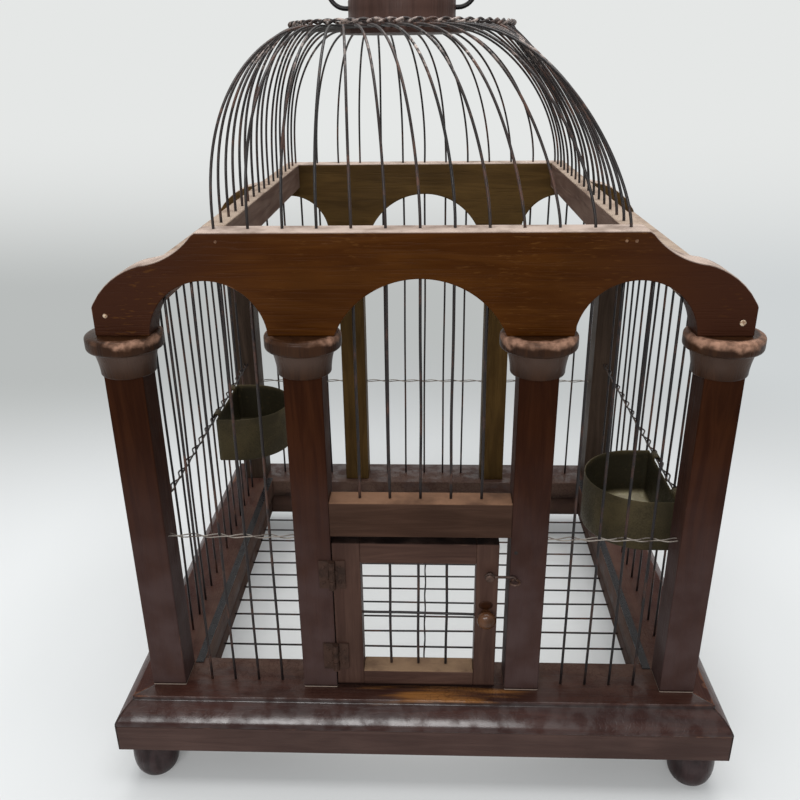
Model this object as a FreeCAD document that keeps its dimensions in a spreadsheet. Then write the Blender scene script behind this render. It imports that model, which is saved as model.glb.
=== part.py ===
import FreeCAD, Part
import math
import os
import Sketcher
from FreeCAD import Placement, Rotation, Vector

# Bird cage with a wooden arcade frame, wire walls, a wire dome and a hinged wire door.
# Millimetres. X to the right, Y to the back, Z up; the origin lies on the table under the base's centre.

doc = FreeCAD.newDocument("BirdCage")

# Driving sizes
SIZES = [
    ("foot_radius", 16.0, "ball foot, widest radius"),
    ("foot_flat", 8.0, "ball foot, radius of its flat ends"),
    ("foot_height", 30.5, "table to the fascia"),
    ("foot_inset", 17.5, "foot centre in from the base's outer faces"),
    ("base_length", 394.0, "base, left to right"),
    ("base_depth", 355.6, "base, front to back"),
    ("fascia_height", 20.0, "lower frame of the base"),
    ("fascia_width", 46.0, "lower frame, outside to inside"),
    ("moulding_height", 16.0, "upper frame of the base"),
    ("moulding_width", 49.0, "upper frame, outside to inside"),
    ("moulding_setback", 10.5, "flat top in from the outer face"),
    ("moulding_quirk", 2.5, "step under the flat top"),
    ("moulding_fillet", 2.0, "plain band under the ovolo"),
    ("moulding_radius", 12.0, "ovolo radius"),
    ("column_width", 21.8, "square column"),
    ("column_height", 220.0, "column without its capital"),
    ("column_row_length", 330.0, "corner column centres, left to right"),
    ("column_row_depth", 291.4, "column centres, front to back"),
    ("inner_column_spacing", 130.2, "inner column centres"),
    ("capital_height", 20.3, "capital on a column"),
    ("capital_rim", 7.6, "height of the capital's disc"),
    ("capital_radius", 21.5, "capital's disc"),
    ("capital_bevel", 1.9, "bevel of the disc's edges"),
    ("capital_neck", 14.0, "capital's neck radius at the column"),
    ("capital_flare", 16.6, "capital's neck radius under the disc"),
    ("board_length", 354.8, "arch board"),
    ("board_height", 56.1, "arch board"),
    ("board_thickness", 18.9, "arch board"),
    ("board_flat", 236.0, "flat part of the arch board's top"),
    ("shoulder_half", 148.8, "where the shoulder's two curves meet, from the middle"),
    ("shoulder_rise", 38.9, "height of that point over the board's foot"),
    ("shoulder_end", 16.2, "straight end of the board"),
    ("shoulder_radius", 45.0, "both curves of the shoulder"),
    ("small_arch_radius", 32.5, "outer arches"),
    ("small_arch_rise", 30.4, "outer arches"),
    ("wide_arch_radius", 50.3, "middle arch"),
    ("wide_arch_rise", 31.3, "middle arch"),
    ("top_rail_width", 12.5, "rail under the dome's side wires"),
    ("top_rail_height", 19.0, "rail under the dome's side wires"),
    ("eave_rail_width", 18.0, "rail over a side wall"),
    ("eave_rail_height", 16.0, "rail over a side wall"),
    ("header_height", 23.0, "door header"),
    ("header_depth", 14.6, "door header"),
    ("header_rise", 115.0, "header's foot over the base"),
    ("wire_radius", 0.9, "wires, to the edge of their section"),
    ("wire_facets", 6, "sides of a wire's section"),
    ("small_facets", 10, "sides of small round fittings"),
    ("turned_facets", 14, "sides of the capitals, feet and knob"),
    ("hub_facets", 32, "sides of the hub"),
    ("bail_facets", 8, "sides of the bail's section"),
    ("ring_runs", 40, "straight runs of the dome's ring"),
    ("wire_seat", 3.0, "depth of a wire's end in the wood"),
    ("bay_wire_setback", 7.0, "bay wires behind the columns' outer faces"),
    ("side_bay_wires", 4, "wires in each outer bay"),
    ("middle_bay_wires", 5, "wires in each middle bay"),
    ("wall_wires", 14, "wires in each side wall"),
    ("tie_radius", 0.8, "twisted tie wires"),
    ("front_tie_rise", 111.0, "front tie wires over the base"),
    ("side_tie_rise", 119.0, "side tie wires over the base"),
    ("back_tie_rise", 97.0, "back tie wires over the base"),
    ("floor_wires", 13, "floor wires, left to right"),
    ("floor_wire_rise", 3.2, "floor wires over the fascia's foot"),
    ("strip_width", 5.2, "metal strip on the base"),
    ("strip_thickness", 0.8, "metal strip on the base"),
    ("dome_half_length", 109.2, "feet of the dome's side wires from the middle"),
    ("dome_row_depth", 289.6, "feet of the front dome wires to those of the back ones"),
    ("dome_front_wires", 13, "dome wires from each arch board"),
    ("dome_side_wires", 15, "dome wires from each top rail"),
    ("dome_runs", 5, "straight runs of a dome wire up to the ring"),
    ("dome_rise", 99.1, "ring wires over the arch boards"),
    ("dome_lean", -13.3, "hub and ring off the middle, left to right"),
    ("reach_power", 1.59, "power of a dome wire's way in, on average"),
    ("reach_power_right", -0.19, "its change on the right, the opposite on the left"),
    ("reach_power_back", -0.15, "its change at the back, the opposite in front"),
    ("reach_power_sides", -0.57, "its change on both sides, the opposite in front and at the back"),
    ("rise_power", 2.13, "power of a dome wire's way up, on average"),
    ("rise_power_right", -0.55, "its change on the right, the opposite on the left"),
    ("rise_power_back", 0.19, "its change at the back, the opposite in front"),
    ("rise_power_sides", 0.5, "its change on both sides, the opposite in front and at the back"),
    ("dome_twist", -0.09, "turn of the wires on the ring, radians"),
    ("dome_twist_back", 0.154, "more turn at the back, less in front, radians"),
    ("ring_radius", 70.5, "ring on the dome's wires"),
    ("ring_wire_radius", 1.7, "twisted ring wire"),
    ("hub_seat_radius", 36.0, "where the dome's wires end in the hub"),
    ("hub_flange_radius", 39.5, "hub's foot"),
    ("hub_flange_height", 7.0, "hub's foot"),
    ("hub_neck_radius", 34.0, "hub's body"),
    ("hub_neck_height", 22.0, "hub's body"),
    ("hub_cap_radius", 30.0, "hub's top"),
    ("hub_cap_height", 4.0, "bevelled top of the hub"),
    ("bail_radius", 1.5, "bail wire"),
    ("bail_bend", 11.0, "bend at the bail's feet"),
    ("bail_leg", 9.0, "straight part of the bail's legs"),
    ("bail_rise", 8.0, "bail's pivot over the hub's flange"),
    ("bail_seat", 8.0, "depth of the bail's ends in the hub"),
    ("pivot_play", 0.05, "running fit of the turning parts"),
    ("door_hinge_gap", 0.6, "door's edge from the hinge column"),
    ("door_latch_gap", 6.7, "door's edge from the latch column"),
    ("door_foot_gap", 2.5, "door over the base"),
    ("door_height", 108.0, "door"),
    ("door_thickness", 14.0, "door"),
    ("hinge_stile_width", 17.0, "door stile at the hinges"),
    ("latch_stile_width", 13.6, "door stile at the hook"),
    ("door_foot_rail", 12.0, "bottom rail of the door"),
    ("door_head_rail", 14.0, "top rail of the door"),
    ("door_wires", 3, "upright wires in the door"),
    ("leaf_width", 8.0, "hinge leaf, with its half of the barrel"),
    ("leaf_height", 20.0, "hinge leaf"),
    ("leaf_thickness", 1.0, "hinge leaf"),
    ("barrel_radius", 1.9, "hinge barrel"),
    ("hinge_pin_radius", 0.8, "hinge pin"),
    ("barrel_gap", 0.35, "gap between knuckles, and from barrel to wood"),
    ("hinge_low", 16.5, "lower hinge over the base"),
    ("hinge_high", 78.5, "upper hinge over the base"),
    ("knob_radius", 6.0, "knob"),
    ("knob_length", 11.0, "knob"),
    ("knob_rise", 60.3, "knob over the base"),
    ("hook_rise", 90.0, "hook's pivot over the base"),
    ("hook_pivot", 5.6, "hook's pivot from the door's edge"),
    ("hook_reach", 15.3, "hook's pivot to its tip"),
    ("hook_wire_radius", 0.9, "hook"),
    ("hook_standoff", 3.6, "hook in front of the door"),
    ("hook_tip", 2.6, "tip below the hook's shank"),
    ("catch_radius", 2.8, "screw eye on the column"),
    ("catch_wire_radius", 0.8, "screw eye on the column"),
    ("catch_gap", 0.4, "hook's tip over the screw eye"),
    ("cup_length", 76.0, "feeder cup, front to back"),
    ("cup_reach", 52.0, "feeder cup, wall to nose"),
    ("cup_height", 36.0, "feeder cup"),
    ("cup_wall", 0.8, "feeder cup's sheet"),
    ("cup_tab_width", 9.0, "hooks of a cup"),
    ("cup_clearance", 0.7, "cup and its hooks from the tie wire"),
    ("right_cup_wire", 3, "wall wire at the right cup's middle"),
    ("left_cup_wire", 10, "wall wire at the left cup's middle"),
]


class Size:
    """A number from the sheet together with the expression that gives it."""

    def __init__(self, value, text):
        self.value = value
        self.text = text

    def join(self, other, sign, value):
        return Size(value, "(" + self.text + " " + sign + " " + size(other).text + ")")

    def __add__(self, other):
        return self.join(other, "+", self.value + size(other).value)

    def __sub__(self, other):
        return self.join(other, "-", self.value - size(other).value)

    def __mul__(self, other):
        return self.join(other, "*", self.value * size(other).value)

    def __truediv__(self, other):
        return self.join(other, "/", self.value / size(other).value)

    def __neg__(self):
        return Size(-self.value, "(0 - " + self.text + ")")

    def root(self):
        return Size(math.sqrt(self.value), "sqrt(" + self.text + ")")


def size(number):
    """Wrap a plain number as a size."""
    if isinstance(number, Size):
        return number
    return Size(float(number), "(" + format(float(number), ".6f") + ")")


class SheetSizes:
    """The sheet's cells by name."""


sheet = doc.addObject("Spreadsheet::Sheet", "Sizes")
for row, (name, value, note) in enumerate(SIZES, start=1):
    sheet.set("A" + str(row), name)
    sheet.set("B" + str(row), str(value))
    sheet.set("C" + str(row), note)
    sheet.setAlias("B" + str(row), name)
doc.recompute()
s = SheetSizes()
for name, value, note in SIZES:
    setattr(s, name, Size(float(sheet.get(name)), "Sizes." + name))

NODES = []

# Rotations that turn a piece made along Z
ALONG = {
    "X": Rotation(Vector(0, 1, 0), 90),
    "Y": Rotation(Vector(1, 0, 0), -90),
    "-Y": Rotation(Vector(1, 0, 0), 90),
    "Z": Rotation(),
}


def keep(item, label):
    """Name a finished sub-part and note it for the export."""
    item.Label = label
    NODES.append(item)
    return item


def bind(item, **values):
    """Tie properties of an object to the sheet."""
    for key, value in values.items():
        item.setExpression(key, size(value).text)
    return item


def place(item, x, y, z, rotation=Rotation()):
    """Turn an object and tie its position to the sheet."""
    item.Placement = Placement(Vector(), rotation)
    for key, value in (("x", x), ("y", y), ("z", z)):
        item.setExpression("Placement.Base." + key, size(value).text)
    return item


def box(x, y, z, length, width, height):
    """A block from its low corner."""
    item = doc.addObject("Part::Box", "block")
    bind(item, Length=length, Width=width, Height=height)
    return place(item, x, y, z)


def rod(radius, length, x, y, z, along="Z", facets=None):
    """A rod from its foot, drawn with flat sides."""
    item = doc.addObject("Part::Prism", "rod")
    bind(item, Polygon=facets or s.small_facets, Circumradius=radius, Height=length)
    return place(item, x, y, z, ALONG[along])


def bore(radius, length, x, y, z, along="Z"):
    """The tool for a round hole: its flat sides lie at the radius, so a rod of that radius turns in it."""
    corner = radius / math.cos(math.pi / s.small_facets.value)
    return rod(corner, length, x, y, z, along)


def wire(length, x, y, z, along="Z", radius=None):
    """A straight wire from its foot."""
    return rod(radius or s.wire_radius, length, x, y, z, along, s.wire_facets)


def group(items, label):
    """Several separate solids as one sub-part."""
    item = doc.addObject("Part::Compound", "group")
    item.Links = items
    return keep(item, label)


def fuse(items):
    """One solid from several."""
    item = doc.addObject("Part::MultiFuse", "joined")
    item.Shapes = items
    item.Refine = True
    return item


def cut(base, tool):
    """One solid less another."""
    item = doc.addObject("Part::Cut", "cut")
    item.Base = base
    item.Tool = tool
    return item


def turned(profile, x, y, z, along="Z", facets=None):
    """A lathe-turned piece through rings of a profile, each (height, radius)."""
    rings = []
    for height, radius in profile:
        ring = doc.addObject("Part::RegularPolygon", "ring")
        bind(ring, Polygon=facets or s.turned_facets, Circumradius=radius)
        rings.append(place(ring, 0, 0, height))
    item = doc.addObject("Part::Loft", "turned")
    item.Sections = rings
    item.Solid = True
    item.Ruled = True
    item.Linearize = True
    return place(item, x, y, z, ALONG[along])


def plane_of(body, role):
    """One of a body's own origin planes."""
    return [item for item in body.Origin.OriginFeatures if item.Role == role][0]


def outline(body, role, corners):
    """A closed sketch through corners (x, y, arc); arc is None or (radius, side of its centre)."""
    sketch = body.newObject("Sketcher::SketchObject", "outline")
    sketch.AttachmentSupport = [(plane_of(body, role), "")]
    sketch.MapMode = "FlatFace"
    ends = []
    for index, (x, y, arc) in enumerate(corners):
        following = corners[(index + 1) % len(corners)]
        start = Vector(x.value, y.value, 0)
        stop = Vector(following[0].value, following[1].value, 0)
        if arc is None:
            sketch.addGeometry(Part.LineSegment(start, stop))
            ends.append((1, 2))
            continue
        radius, side = arc
        chord = stop - start
        across = Vector(-chord.y, chord.x, 0).normalize()
        reach = math.sqrt(radius.value ** 2 - (chord.Length / 2) ** 2)
        centre = start + chord * 0.5 + across * (reach * side)
        first, last = (start, stop) if side > 0 else (stop, start)
        begin = math.atan2(first.y - centre.y, first.x - centre.x)
        end = math.atan2(last.y - centre.y, last.x - centre.x)
        if end < begin:
            end = end + 2 * math.pi
        circle = Part.Circle(centre, Vector(0, 0, 1), radius.value)
        sketch.addGeometry(Part.ArcOfCircle(circle, begin, end))
        ends.append((1, 2) if side > 0 else (2, 1))
    for index in range(len(corners)):
        following = (index + 1) % len(corners)
        meet = Sketcher.Constraint("Coincident", index, ends[index][1], following, ends[following][0])
        sketch.addConstraint(meet)
    for index, (x, y, arc) in enumerate(corners):
        for kind, value in (("DistanceX", x), ("DistanceY", y)):
            rule = Sketcher.Constraint(kind, -1, 1, index, ends[index][0], value.value)
            sketch.setExpression("Constraints[%d]" % sketch.addConstraint(rule), value.text)
        if arc is not None:
            rule = Sketcher.Constraint("Radius", index, arc[0].value)
            sketch.setExpression("Constraints[%d]" % sketch.addConstraint(rule), arc[0].text)
    return sketch


def pad(body, sketch, length, symmetric=False):
    """Raise a sketch."""
    feature = body.newObject("PartDesign::Pad", "pad")
    feature.Profile = sketch
    bind(feature, Length=length)
    if symmetric:
        feature.SideType = "Symmetric"
    body.Tip = feature
    return feature


def even(low, high, count):
    """Evenly spaced places between two faces, none on the faces themselves."""
    pitch = (high - low) / (count + 1)
    return [low + pitch * (index + 1) for index in range(int(count.value))]


# Levels and lines shared by several pieces
base_top = s.foot_height + s.fascia_height + s.moulding_height
capital_foot = base_top + s.column_height
board_foot = capital_foot + s.capital_height
board_top = board_foot + s.board_height
corner_x = s.column_row_length / 2
inner_x = s.inner_column_spacing / 2
row_y = s.column_row_depth / 2
half_column = s.column_width / 2
front_face = -row_y - half_column
board_inner_y = row_y - s.board_thickness / 2
small_arch_x = (corner_x + inner_x) / 2
inner_face = inner_x - half_column

# Base: mitred fascia boards and moulding rails; each is drawn as a front piece, then turned to its side
SIDES = [
    ("front", s.base_length, size(0), -s.base_depth / 2, 0),
    ("right", s.base_depth, s.base_length / 2, size(0), 90),
    ("back", s.base_length, size(0), s.base_depth / 2, 180),
    ("left", s.base_depth, -s.base_length / 2, size(0), 270),
]


def mitred(length, width, height):
    """A board with mitred ends, its outer face on the X axis."""
    body = doc.addObject("PartDesign::Body", "mitred")
    half = length / 2
    corners = [
        (-half, size(0), None),
        (half, size(0), None),
        (half - width, width, None),
        (-half + width, width, None),
    ]
    pad(body, outline(body, "XY_Plane", corners), height)
    return body


def ovolo(body):
    """Mould the outer edge of a rail: a step under the flat top, then a quarter round."""
    over = s.moulding_height + 2
    step = s.moulding_height - s.moulding_quirk
    corners = [
        (-size(2), s.moulding_fillet, None),
        (size(0), s.moulding_fillet, (s.moulding_radius, -1)),
        (s.moulding_setback, step, None),
        (s.moulding_setback, over, None),
        (-size(2), over, None),
    ]
    feature = body.newObject("PartDesign::Pocket", "ovolo")
    feature.Profile = outline(body, "YZ_Plane", corners)
    feature.Type = "ThroughAll"
    feature.SideType = "Symmetric"
    body.Tip = feature


for side, length, x, y, angle in SIDES:
    turn = Rotation(Vector(0, 0, 1), angle)
    fascia = mitred(length, s.fascia_width, s.fascia_height)
    keep(place(fascia, x, y, s.foot_height, turn), "base_fascia_" + side)
    rail = mitred(length, s.moulding_width, s.moulding_height)
    ovolo(rail)
    keep(place(rail, x, y, s.foot_height + s.fascia_height, turn), "base_moulding_" + side)

# Ball feet
foot_x = s.base_length / 2 - s.foot_inset
foot_y = s.base_depth / 2 - s.foot_inset
foot_mid = (s.foot_radius + s.foot_flat) * 0.56
FOOT_PROFILE = [
    (size(0), s.foot_flat),
    (s.foot_height * 0.14, foot_mid),
    (s.foot_height * 0.36, s.foot_radius),
    (s.foot_height * 0.64, s.foot_radius),
    (s.foot_height * 0.86, foot_mid),
    (s.foot_height, s.foot_flat),
]
feet = [turned(FOOT_PROFILE, x, y, 0) for x in (-foot_x, foot_x) for y in (-foot_y, foot_y)]
group(feet, "ball_feet")

# Columns and their capitals
COLUMN_NAMES = [
    ("corner_column_left", -corner_x),
    ("inner_column_left", -inner_x),
    ("inner_column_right", inner_x),
    ("corner_column_right", corner_x),
]
capital_disc = s.capital_height - s.capital_rim
CAPITAL_PROFILE = [
    (size(0), s.capital_neck),
    (capital_disc, s.capital_flare),
    (capital_disc + 0.6, s.capital_radius - s.capital_bevel * 0.4),
    (s.capital_height - s.capital_bevel, s.capital_radius),
    (s.capital_height, s.capital_radius - s.capital_bevel),
]
capitals = []
for row, y in (("front", -row_y), ("back", row_y)):
    for name, x in COLUMN_NAMES:
        column = box(
            x - half_column, y - half_column, base_top, s.column_width, s.column_width, s.column_height
        )
        keep(column, row + "_" + name)
        capitals.append(turned(CAPITAL_PROFILE, x, y, capital_foot))
group(capitals, "capitals")


# Arch boards: curved shoulders above, two small arches and a wide one below
def half_span(radius, rise):
    """Half the width of an arch at its foot."""
    return (radius * radius - (radius - rise) * (radius - rise)).root()


def arch_corners():
    """Half of the board's outline from the right foot to the top, then all of it mirrored."""
    half = s.board_length / 2
    bend = (s.shoulder_radius, 1)
    hollow = (s.shoulder_radius, -1)
    top = s.board_height
    small = (s.small_arch_radius, -1)
    wide = (s.wide_arch_radius, -1)
    small_half = half_span(s.small_arch_radius, s.small_arch_rise)
    wide_half = half_span(s.wide_arch_radius, s.wide_arch_rise)
    foot = size(0)
    return [
        (half, foot, None),
        (half, s.shoulder_end, bend),
        (s.shoulder_half, s.shoulder_rise, hollow),
        (s.board_flat / 2, top, None),
        (-s.board_flat / 2, top, hollow),
        (-s.shoulder_half, s.shoulder_rise, bend),
        (-half, s.shoulder_end, None),
        (-half, foot, None),
        (-small_arch_x - small_half, foot, small),
        (-small_arch_x + small_half, foot, None),
        (-wide_half, foot, wide),
        (wide_half, foot, None),
        (small_arch_x - small_half, foot, small),
        (small_arch_x + small_half, foot, None),
    ]


for row, y in (("front", -row_y), ("back", row_y)):
    board = doc.addObject("PartDesign::Body", "board")
    pad(board, outline(board, "XZ_Plane", arch_corners()), s.board_thickness, True)
    keep(place(board, 0, y, board_foot), row + "_arch_board")

# Rails between the arch boards
for side, sign in (("left", -1), ("right", 1)):
    top_x = s.board_flat / 2 - s.top_rail_width / 2
    eave_x = s.board_length / 2 - s.eave_rail_width / 2
    top_rail = box(
        top_x * sign - s.top_rail_width / 2,
        -board_inner_y,
        board_top - s.top_rail_height,
        s.top_rail_width,
        board_inner_y * 2,
        s.top_rail_height,
    )
    keep(top_rail, "top_rail_" + side)
    eave_rail = box(
        eave_x * sign - s.eave_rail_width / 2,
        -board_inner_y,
        board_foot,
        s.eave_rail_width,
        board_inner_y * 2,
        s.eave_rail_height,
    )
    keep(eave_rail, "eave_rail_" + side)

# Door header
header_foot = base_top + s.header_rise
header_top = header_foot + s.header_height
header = box(-inner_face, front_face, header_foot, inner_face * 2, s.header_depth, s.header_height)
keep(header, "door_header")


# Bay wires between the base or the header and the arches
def arch_level(x, centre, radius, rise):
    """Height of an arch's underside."""
    off = x - centre
    return board_foot + rise - radius + (radius * radius - off * off).root()


def bay_wires(y, middle_foot):
    """The wires of the left, middle and right bay of one side."""
    wires = []
    for centre in (-small_arch_x, small_arch_x):
        width = corner_x - inner_x - s.column_width
        for x in even(centre - width / 2, centre + width / 2, s.side_bay_wires):
            foot = base_top - s.wire_seat
            top = arch_level(x, centre, s.small_arch_radius, s.small_arch_rise) + s.wire_seat
            wires.append(wire(top - foot, x, y, foot))
    for x in even(-inner_face, inner_face, s.middle_bay_wires):
        foot = middle_foot - s.wire_seat
        top = arch_level(x, size(0), s.wide_arch_radius, s.wide_arch_rise) + s.wire_seat
        wires.append(wire(top - foot, x, y, foot))
    return wires


bay_y = -front_face - s.bay_wire_setback
group(bay_wires(-bay_y, header_top), "front_wires")
group(bay_wires(bay_y, base_top), "back_wires")

# Side wall wires
wall_places = even(half_column - row_y, row_y - half_column, s.wall_wires)
for side, x in (("left", -corner_x), ("right", corner_x)):
    tall = board_foot - base_top + s.wire_seat * 2
    group([wire(tall, x, y, base_top - s.wire_seat) for y in wall_places], side + "_wall_wires")


def section(centre, along, radius, count):
    """A regular section square to a direction, one corner to the side."""
    side = along.cross(Vector(0, 0, 1))
    if side.Length < 1e-6:
        side = Vector(1, 0, 0)
    side.normalize()
    up = side.cross(along).normalize()
    turns = [2 * math.pi * index / count for index in range(count)]
    points = [centre + side * (radius * math.cos(turn)) + up * (radius * math.sin(turn)) for turn in turns]
    return Part.makePolygon(points + points[:1])


def bent_wire(points, radius, facets):
    """A wire of straight runs, mitred where they meet."""
    sections = []
    for index, point in enumerate(points):
        before = points[max(index - 1, 0)]
        after = points[min(index + 1, len(points) - 1)]
        sections.append(section(point, (after - before).normalize(), radius, int(facets.value)))
    return Part.makeLoft(sections, True, True)


def wire_ring(centre, ring_radius, radius, runs):
    """A ring of straight runs, in two halves that are joined."""
    halves = []
    for first in (0, runs // 2):
        sections = []
        for index in range(first, first + runs // 2 + 1):
            turn = 2 * math.pi * index / runs
            way = Vector(math.cos(turn), math.sin(turn), 0)
            ahead = Vector(-math.sin(turn), math.cos(turn), 0)
            sections.append(section(centre + way * ring_radius, ahead, radius, int(s.wire_facets.value)))
        halves.append(Part.makeLoft(sections, True, True))
    return halves[0].fuse(halves[1]).removeSplitter()


# Roof wires from the eave rails up to the top rails
for side, sign in (("left", -1), ("right", 1)):
    seat = s.wire_seat.value
    low = Vector(sign * (s.board_length - s.eave_rail_width).value / 2, 0, 0)
    low.z = (board_foot + s.eave_rail_height).value - seat
    high = Vector(sign * (s.board_flat.value / 2 - seat), 0, board_top.value - s.top_rail_height.value / 2)
    wires = []
    for y in wall_places:
        shift = Vector(0, y.value, 0)
        wires.append(bent_wire([low + shift, high + shift], s.wire_radius.value, s.wire_facets))
    roof = doc.addObject("Part::Feature", "roof")
    roof.Shape = Part.makeCompound(wires)
    keep(roof, side + "_roof_wires")

# Tie wires, twisted round the wires half way up
front_tie_level = base_top + s.front_tie_rise
side_tie_level = base_top + s.side_tie_rise
back_tie_level = base_top + s.back_tie_rise
touch = s.wire_radius + s.tie_radius - 0.35
bay_ends = [(-corner_x, -inner_x), (inner_x, corner_x)]
front_ties = []
back_ties = []
for low, high in bay_ends:
    start = low + half_column - s.wire_seat
    span = high - low - s.column_width + s.wire_seat * 2
    front_ties.append(wire(span, start, -bay_y - touch, front_tie_level, "X", s.tie_radius))
    back_ties.append(wire(span, start, bay_y + touch, back_tie_level, "X", s.tie_radius))
middle_start = -inner_face - s.wire_seat
back_ties.append(wire(-middle_start * 2, middle_start, bay_y + touch, back_tie_level, "X", s.tie_radius))
group(front_ties, "front_tie_wires")
group(back_ties, "back_tie_wires")
wall_start = half_column - row_y - s.wire_seat
tie_x = corner_x - touch
side_ties = []
for x in (-tie_x, tie_x):
    side_ties.append(wire(-wall_start * 2, x, wall_start, side_tie_level, "Y", s.tie_radius))
group(side_ties, "side_tie_wires")

# Floor: wires from side to side in the fascia, one binder wire, and metal strips on the base
floor_x = s.base_length / 2 - s.fascia_width
floor_y = s.base_depth / 2 - s.moulding_width
floor_level = s.foot_height + s.floor_wire_rise
floor = []
for y in even(-floor_y, floor_y, s.floor_wires):
    floor.append(wire((floor_x + s.wire_seat) * 2, -floor_x - s.wire_seat, y, floor_level, "X"))
binder_y = s.base_depth / 2 - s.fascia_width + s.wire_seat
binder_level = floor_level + s.wire_radius + s.tie_radius - 0.35
floor.append(wire(binder_y * 2, 2, -binder_y, binder_level, "Y", s.tie_radius))
group(floor, "floor_wires")
strip_x = s.base_length / 2 - s.moulding_width + 0.4
strip_y = row_y - half_column - 0.5
strips = []
for x in (-strip_x - s.strip_width, strip_x):
    strips.append(box(x, -strip_y, base_top, s.strip_width, strip_y * 2, s.strip_thickness))
group(strips, "floor_strips")

# Dome: every wire rises from its foot to the ring, then runs level into the hub
ring_level = board_top + s.dome_rise


def dome_feet():
    """Feet of the wires: front row left to right, right row to the back, then round again."""
    across = int(s.dome_front_wires.value)
    deep = int(s.dome_side_wires.value)
    half = s.dome_half_length.value
    depth = s.dome_row_depth.value / 2
    xs = [half * (2 * index / (across - 1) - 1) for index in range(across)]
    ys = [depth * (2 * (index + 1) / (deep + 1) - 1) for index in range(deep)]
    front = [(x, -depth) for x in xs]
    right = [(half, y) for y in ys]
    back = [(x, depth) for x in reversed(xs)]
    left = [(-half, y) for y in reversed(ys)]
    return [("front", front), ("right", right), ("back", back), ("left", left)]


def power_at(angle, average, right, back, sides):
    """A power that changes round the dome."""
    swing = right.value * math.cos(angle) + back.value * math.sin(angle)
    return average.value + swing + sides.value * math.cos(2 * angle)


def dome_path(foot, angle):
    """Points of one wire: it comes in as a power of a cosine and rises as a power of the sine."""
    runs = int(s.dome_runs.value)
    inwards = power_at(angle, s.reach_power, s.reach_power_right, s.reach_power_back, s.reach_power_sides)
    upwards = power_at(angle, s.rise_power, s.rise_power_right, s.rise_power_back, s.rise_power_sides)
    way = Vector(math.cos(angle), math.sin(angle), 0)
    middle = Vector(s.dome_lean.value, 0, ring_level.value)
    ring_point = middle + way * s.ring_radius.value
    points = [Vector(foot[0], foot[1], board_top.value - s.wire_seat.value)]
    for index in range(1, runs + 1):
        turn = math.pi / 2 * index / runs
        reach = max(math.cos(turn), 0.0) ** (2 / inwards)
        rise = math.sin(turn) ** (2 / upwards)
        point = ring_point + (Vector(foot[0], foot[1], 0) - ring_point) * reach
        point.z = board_top.value + s.dome_rise.value * rise
        points.append(point)
    points.append(middle + way * s.hub_seat_radius.value)
    return points


sides = dome_feet()
total = sum(len(feet_row) for name, feet_row in sides)
number = 0
for side, feet_row in sides:
    wires = []
    for foot in feet_row:
        steps = number - (s.dome_front_wires.value - 1) / 2
        angle = -math.pi / 2 + steps * 2 * math.pi / total
        angle = angle + s.dome_twist.value + s.dome_twist_back.value * math.sin(angle)
        wires.append(bent_wire(dome_path(foot, angle), s.wire_radius.value, s.wire_facets))
        number = number + 1
    dome = doc.addObject("Part::Feature", "dome")
    dome.Shape = Part.makeCompound(wires)
    keep(dome, "dome_wires_" + side)

# Ring on the dome's wires
ring_height = ring_level + s.wire_radius + s.ring_wire_radius - 0.7
ring_middle = Vector(s.dome_lean.value, 0, ring_height.value)
ring = doc.addObject("Part::Feature", "ring")
ring.Shape = wire_ring(ring_middle, s.ring_radius.value, s.ring_wire_radius.value, int(s.ring_runs.value))
keep(ring, "dome_ring")

# Hub, drilled on both sides for the bail
hub_foot = ring_level - s.hub_flange_height / 2
bail_level = hub_foot + s.hub_flange_height + s.bail_rise
flange_top = s.hub_flange_height
neck_top = flange_top + s.hub_neck_height
HUB_PROFILE = [
    (size(0), s.hub_flange_radius - 1.5),
    (size(1.5), s.hub_flange_radius),
    (flange_top, s.hub_flange_radius),
    (flange_top + 0.4, s.hub_neck_radius),
    (neck_top, s.hub_neck_radius),
    (neck_top + s.hub_cap_height, s.hub_cap_radius),
]
hub = turned(HUB_PROFILE, s.dome_lean, 0, hub_foot, "Z", s.hub_facets)
hole_depth = s.bail_seat + 2
for start in (s.dome_lean - s.hub_neck_radius - 2, s.dome_lean + s.hub_neck_radius - s.bail_seat):
    hub = cut(hub, bore(s.bail_radius + s.pivot_play, hole_depth, start, 0, bail_level, "X"))
keep(hub, "hub")


# Bail: a wire from the hub's left hole over the top to its right hole
def bail_path():
    """Half of the bail from its pivot end up to the crown, then the same again mirrored."""
    bend = s.bail_bend.value
    inner = s.hub_neck_radius.value - s.bail_seat.value + 0.5
    knee = s.hub_neck_radius.value + 1.5
    leg = knee + bend
    high = bend + s.bail_leg.value
    half = [Vector(inner, 0, 0)]
    for turn in (0, 30, 60, 90):
        angle = math.radians(turn)
        half.append(Vector(knee + bend * math.sin(angle), 0, bend * (1 - math.cos(angle))))
    for turn in (0, 18, 36, 54, 72):
        angle = math.radians(turn)
        half.append(Vector(leg * math.cos(angle), 0, high + leg * math.sin(angle)))
    crown = Vector(0, 0, high + leg)
    return [Vector(-point.x, 0, point.z) for point in half] + [crown] + half[::-1]


bail = doc.addObject("Part::Feature", "bail")
bail.Shape = bent_wire(bail_path(), s.bail_radius.value, s.bail_facets)
keep(place(bail, s.dome_lean, 0, bail_level), "bail_handle")

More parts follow.
